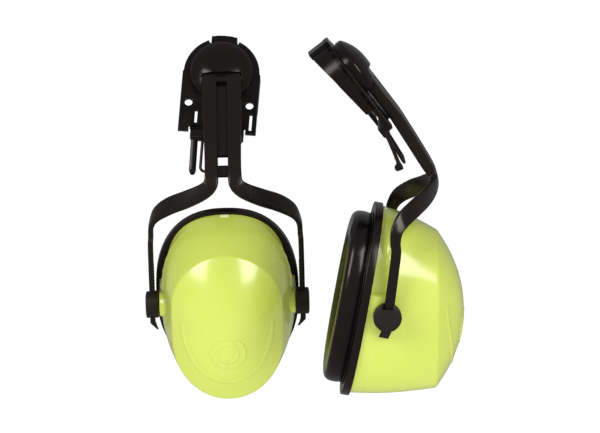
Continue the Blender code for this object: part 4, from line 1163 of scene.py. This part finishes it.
def hub_profile():
    """Radius and height pairs: the dome, its rim, the neck and the snap ring's groove."""
    steps = 14
    profile = []
    for i in range(steps + 1):
        radius = (HUB_RADIUS - 0.5 * MM) * i / steps
        share = (radius / HUB_RADIUS) ** 2.4
        profile.append((radius, HUB_CROWN - (HUB_CROWN - HUB_RIM) * share))
    skirt = HUB_RADIUS - 0.35 * MM
    flank = HUB_RADIUS - 0.7 * MM
    profile += [(HUB_RADIUS - 0.12 * MM, HUB_RIM - 0.25 * MM), (HUB_RADIUS, HUB_RIM - 0.7 * MM)]
    profile += [(HUB_RADIUS, 1.5 * MM), (skirt, 1.3 * MM), (skirt, GAP), (flank, GAP), (flank, HUB_FOOT)]
    profile += [(HUB_NECK, HUB_FOOT), (HUB_NECK, GROOVE_TOP), (SNAP_GROOVE, GROOVE_TOP)]
    profile += [(SNAP_GROOVE, GROOVE_LOW), (HUB_NECK, GROOVE_LOW), (8.6 * MM, NECK_END), (0.0, NECK_END)]
    return profile


def make_hub(unit):
    """The domed hub, cut away for the arm and round its knuckles."""
    side = ARM_HALF_WIDTH + GAP
    channel = box("channel", (-side, -20 * MM, GAP), (side, FOLD_Y + 1.4 * MM, 12 * MM))
    round_end = lathe(
        "round_end", [(0.0, -side), (KNUCKLE_ROOM, -side), (KNUCKLE_ROOM, side), (0.0, side)], 48, "X",
    )
    round_end.transform(Matrix.Translation((0.0, FOLD_Y, FOLD_Z)))
    mesh = cut(lathe("hub", hub_profile(), 96), [channel, round_end])
    bevel(place(unit, "hub_dome", mesh, "hub", "hub", ["swivel_hub"], sharp=30.0), 0.25 * MM, 2, 50.0)


# Adapter


def adapter_depth(y):
    """How deep the adapter is behind its face, from its top to its lower end."""
    if y > 0.0:
        rise = (y / TAB_TOP) ** 1.4
        return ADAPTER_DEPTH_MIDDLE + (ADAPTER_DEPTH_TOP - ADAPTER_DEPTH_MIDDLE) * rise
    fall = min(y / WALL_END, 1.0)
    return ADAPTER_DEPTH_MIDDLE + (ADAPTER_DEPTH_END - ADAPTER_DEPTH_MIDDLE) * fall


def top_arc():
    """The right side of the plate's round top, up to the notch beside the tab."""
    return arc((0, 0), PLATE_TOP_RADIUS, 0, NOTCH_START, 24)[1:]


def adapter_outline():
    """The plate's border: two legs, a round top, and a tab between two notches."""
    notch = PLATE_TOP_RADIUS - NOTCH_DEPTH
    tab = TAB_HALF_WIDTH
    outline = [(LEG_INNER, LEG_END), (PLATE_HALF_WIDTH, LEG_END), (PLATE_HALF_WIDTH, 0.0), *top_arc()]
    outline += [(tab + NOTCH_WIDTH, notch), (tab, notch), (tab, TAB_TOP - 0.8 * MM)]
    outline += [(tab / 2, TAB_TOP - 0.2 * MM), (0.0, TAB_TOP)]
    left = [(-x, y) for x, y in reversed(outline[:-1])]
    leg_root = LEG_END + 3.0 * MM
    return outline + left + [(-LEG_INNER, leg_root), (LEG_INNER, leg_root)]


def slot_outline(x, low, high):
    return rectangle(x - SLOT_HALF_WIDTH, x + SLOT_HALF_WIDTH, low, high)


def wall_mesh():
    """The wall behind the plate's edge, open below and behind the tab."""
    line = [(PLATE_HALF_WIDTH, y) for y in (WALL_END, WALL_END / 2, 0.0)] + top_arc()
    sides = [wall_part([(sign * x, y) for x, y in line]) for sign in (1, -1)]
    return join_meshes("wall", sides)


def wall_part(line):
    """A wall inside a line, as deep as the adapter, with its outer edge broken."""
    soft = 0.35 * MM
    root = -1.0 * MM
    rings = []
    for x, y in line:
        length = math.hypot(x, max(y, 0.0))
        back = -adapter_depth(y)
        inner = (length - WALL) / length
        shoulder = (length - soft) / length
        ix, iy = x * inner, y * inner if y > 0.0 else y
        ox, oy = x * shoulder, y * shoulder if y > 0.0 else y
        ring = [(x, y, root), (x, y, back + soft), (ox, oy, back), (ix, iy, back), (ix, iy, root)]
        rings.append([Vector(point) for point in ring])
    return loft("wall", rings)


def tab_mesh():
    high = 21.4 * MM
    outline = rectangle(-TAB_HALF_WIDTH, TAB_HALF_WIDTH, 18.0 * MM, high)
    outline.insert(3, (0.0, high + 0.8 * MM))
    return plate("tab", [outline], -12.6 * MM, -0.2 * MM, 0.3 * MM)


def make_adapter(unit):
    """The plate with its holes and slots, its wall, four ribs and the tab."""
    outlines = [adapter_outline(), arc((0, 0), NECK_HOLE, 0, 354, 59)]
    outlines += [arc((sign * HOLE_X, HOLE_Y), HOLE_RADIUS, 0, 345, 23) for sign in (-1, 1)]
    outlines.append(slot_outline(-12.0 * MM, -31.0 * MM, -22.3 * MM))
    outlines.append(slot_outline(18.0 * MM, -32.4 * MM, -22.9 * MM))
    meshes = [plate("face", outlines, -PLATE_THICKNESS, 0.0, 0.3 * MM), wall_mesh()]
    for x in (-19.6 * MM, -14.4 * MM, 15.9 * MM, 20.4 * MM):
        low = (x - 0.35 * MM, LEG_END + 0.6 * MM, -0.4 * MM)
        meshes.append(box("rib", low, (x + 0.35 * MM, -20.6 * MM, 0.25 * MM)))
    meshes.append(tab_mesh())
    mesh = join_meshes("adapter", meshes)
    place(unit, "adapter_body", mesh, "adapter", "adapter", ["adapter_plate"], sharp=32.0)


def blade_half_width(y):
    half = PLATE_HALF_WIDTH - WALL - GAP
    if y > 0.0:
        return math.sqrt(max((half - 0.4 * MM) ** 2 - y * y, 0.0))
    return BLADE_HALF_WIDTH + (half - BLADE_HALF_WIDTH) * smooth_step(-12.5 * MM, -7.5 * MM, y)


def blade_ring(y, tip):
    """The tongue's section at a height, thinner towards its tip."""
    half = max(blade_half_width(y), 0.8 * MM)
    back = -adapter_depth(y)
    front = back + 2.0 * MM * (0.45 + 0.55 * tip)
    return [Vector((x, y, z)) for x, z in chamfered(half, back, front, 0.4 * MM)]


def blade_rib(x):
    """A stiffening rib along the tongue's back."""
    half = 0.6 * MM
    rings = []
    for i in range(17):
        y = -27.0 * MM + 36.0 * MM * i / 16
        back = -adapter_depth(y)
        corners = rectangle(x - half, x + half, back - 0.35 * MM, back + 0.3 * MM)
        rings.append([Vector((a, y, b)) for a, b in corners])
    return loft("rib", rings)


def make_blade(unit):
    """The curved tongue that enters the helmet's slot, with two stiffening ribs."""
    steps = 40
    top = PLATE_HALF_WIDTH - WALL - GAP - 0.5 * MM
    rings = []
    for i in range(steps + 1):
        y = BLADE_END + (top - BLADE_END) * i / steps
        rings.append(blade_ring(y, smooth_step(0.0, 0.06, i / steps)))
    meshes = [loft("blade", rings)] + [blade_rib(x) for x in (-5.5 * MM, 5.5 * MM)]
    mesh = join_meshes("blade", meshes)
    place(unit, "blade", mesh, "adapter", "adapter", ["slot_blade"], sharp=40.0)


def bail_mesh():
    """The wire loop that hangs from the catch, tilted a little."""
    low = BAIL_END + BAIL_BEND
    outline = [(BAIL_LEFT, BAIL_ROOT)] + arc((BAIL_LEFT + BAIL_BEND, low), BAIL_BEND, 180, 270, 8)
    outline += arc((BAIL_RIGHT - BAIL_BEND, low), BAIL_BEND, 270, 360, 8) + [(BAIL_RIGHT, BAIL_ROOT)]
    turn = Matrix.Translation((0.0, 0.0, -1.8 * MM)) @ Matrix.Rotation(BAIL_TILT, 4, "X")
    return tube("bail", [turn @ Vector((x, y, 0.0)) for x, y in outline], BAIL_WIRE)


def make_catch(unit):
    """The cross block with its lip and two pads, and the bail."""
    half = CATCH_HALF_WIDTH
    meshes = [
        box("block", (-half, -37.0 * MM, -7.4 * MM), (half, -31.2 * MM, -3.3 * MM)),
        bail_mesh(),
        box("pad", (-14.2 * MM, -38.1 * MM, -6.8 * MM), (-8.2 * MM, -36.8 * MM, -3.9 * MM)),
        box("pad", (9.4 * MM, -37.9 * MM, -6.8 * MM), (14.0 * MM, -36.8 * MM, -3.9 * MM)),
        box("lip", (-half, -31.6 * MM, -4.7 * MM), (half, -28.4 * MM, -3.2 * MM)),
    ]
    mesh = join_meshes("catch", meshes)
    item = place(unit, "catch", mesh, "adapter", "lever", ["spring_catch"], sharp=40.0)
    bevel(item, 0.3 * MM, 2, 60.0)


def make_lever(unit):
    """The finger tongue: a tapered strip with a rounded, hooked end."""
    stations = [
        (0.6, -1.0, 1.0, 1.9), (-1.0, -0.95, 0.95, 1.9), (-8.0, -0.9, 0.9, 1.9), (-14.2, -1.0, 1.0, 1.9),
        (-15.2, -1.5, 1.1, 1.9), (-15.9, -2.7, 1.25, 1.88), (-16.8, -3.0, 1.4, 1.75),
        (-17.7, -3.0, 1.45, 1.5), (-18.4, -2.6, 1.3, 1.1), (-18.9, -1.8, 1.0, 0.55),
    ]
    rings = []
    for y, back, front, half in stations:
        rings.append([Vector((x, y, z)) * MM for x, z in chamfered(half, back, front, 0.25)])
    mesh = loft("tongue", rings)
    mesh.transform(Matrix.Rotation(TONGUE_TILT, 4, "X"))
    place(unit, "tongue", mesh, "lever", "lever", ["release_lever"], sharp=45.0)


def finish_steel(unit):
    """The small steel pieces keep their solids and get a drawn-steel finish."""
    for role in ("hub_snap_ring", "fold_pin", "fold_spring", "front_pivot_clip", "rear_pivot_clip"):
        materials = frame["nodes"][f"{unit}_{role}"].data.materials
        materials.clear()
        materials.append(MATERIALS["steel"])


cushion_source = cushion_mesh()
for side in SIDES:
    make_cup(side)
    make_flange(side)
    make_cushion(side, cushion_source)
    make_ear_foam(side)
    make_arm(side)
    make_knob(side, "front", -1)
    make_knob(side, "rear", 1)
    make_hub(side)
    make_adapter(side)
    make_blade(side)
    make_catch(side)
    make_lever(side)
    finish_steel(side)


# Studio


VIEW_ELEVATION = math.radians(10.0)
VIEW_DISTANCE = 3.0
VIEW_SIDEWAYS = 39.5 * MM
VIEW_UP = 46.7 * MM
LENS = 330.0
FLOOR_DROP = 0.5
FLOOR_REACH = 30.0
WORLD_STRENGTH = 0.27
LIGHT_AZIMUTHS = {"soft_left": math.radians(-42.0), "soft_right": math.radians(31.0)}
LIGHT_ELEVATION = math.radians(27.0)
LIGHT_DISTANCE = 1.6
LIGHT_SIZE = (0.66, 0.80)
LIGHT_POWER = 11.2


def make_camera():
    """A long lens from the front and a little above. Returns the point it looks at."""
    knobs = Vector(JOINTS["left_tilt"]["pos_m"])
    up = Vector((0.0, math.sin(VIEW_ELEVATION), math.cos(VIEW_ELEVATION)))
    target = knobs + Vector((VIEW_SIDEWAYS, 0.0, 0.0)) + up * VIEW_UP
    data = bpy.data.cameras.new("view")
    data.lens = LENS
    data.sensor_width = 36.0
    data.clip_end = 60.0
    camera = add_object("view", data)
    back = Vector((0.0, -math.cos(VIEW_ELEVATION), math.sin(VIEW_ELEVATION)))
    camera.location = target + back * VIEW_DISTANCE
    camera.rotation_euler = (math.pi / 2 - VIEW_ELEVATION, 0.0, 0.0)
    bpy.context.scene.camera = camera
    return target


def soft_light(name, target, azimuth):
    """A large soft box that faces the target, turned from the front by an azimuth."""
    data = bpy.data.lights.new(name, "AREA")
    data.shape = "RECTANGLE"
    data.size, data.size_y = LIGHT_SIZE
    data.energy = LIGHT_POWER
    light = add_object(name, data)
    level = math.cos(LIGHT_ELEVATION)
    away = Vector((math.sin(azimuth) * level, -math.cos(azimuth) * level, math.sin(LIGHT_ELEVATION)))
    light.location = target + away * LIGHT_DISTANCE
    light.rotation_euler = (-away).to_track_quat("-Z", "Y").to_euler()


def make_floor():
    shape = bmesh.new()
    bmesh.ops.create_grid(shape, x_segments=8, y_segments=8, size=FLOOR_REACH)
    mesh = bmesh_to_mesh(shape, "floor")
    mesh.materials.append(studio_floor("pale_floor"))
    floor = add_object("floor", mesh)
    floor.location = (0.0, 0.0, CAD_BOX[0][2] - FLOOR_DROP)
    floor.visible_glossy = False


def make_world():
    world = bpy.data.worlds.new("studio")
    world.use_nodes = True
    background = world.node_tree.nodes["Background"]
    background.inputs["Color"].default_value = WHITE
    background.inputs["Strength"].default_value = WORLD_STRENGTH
    bpy.context.scene.world = world


target = make_camera()
make_floor()
make_world()
for light_name, azimuth in LIGHT_AZIMUTHS.items():
    soft_light(light_name, target, azimuth)
bpy.context.scene.view_settings.view_transform = "Standard"
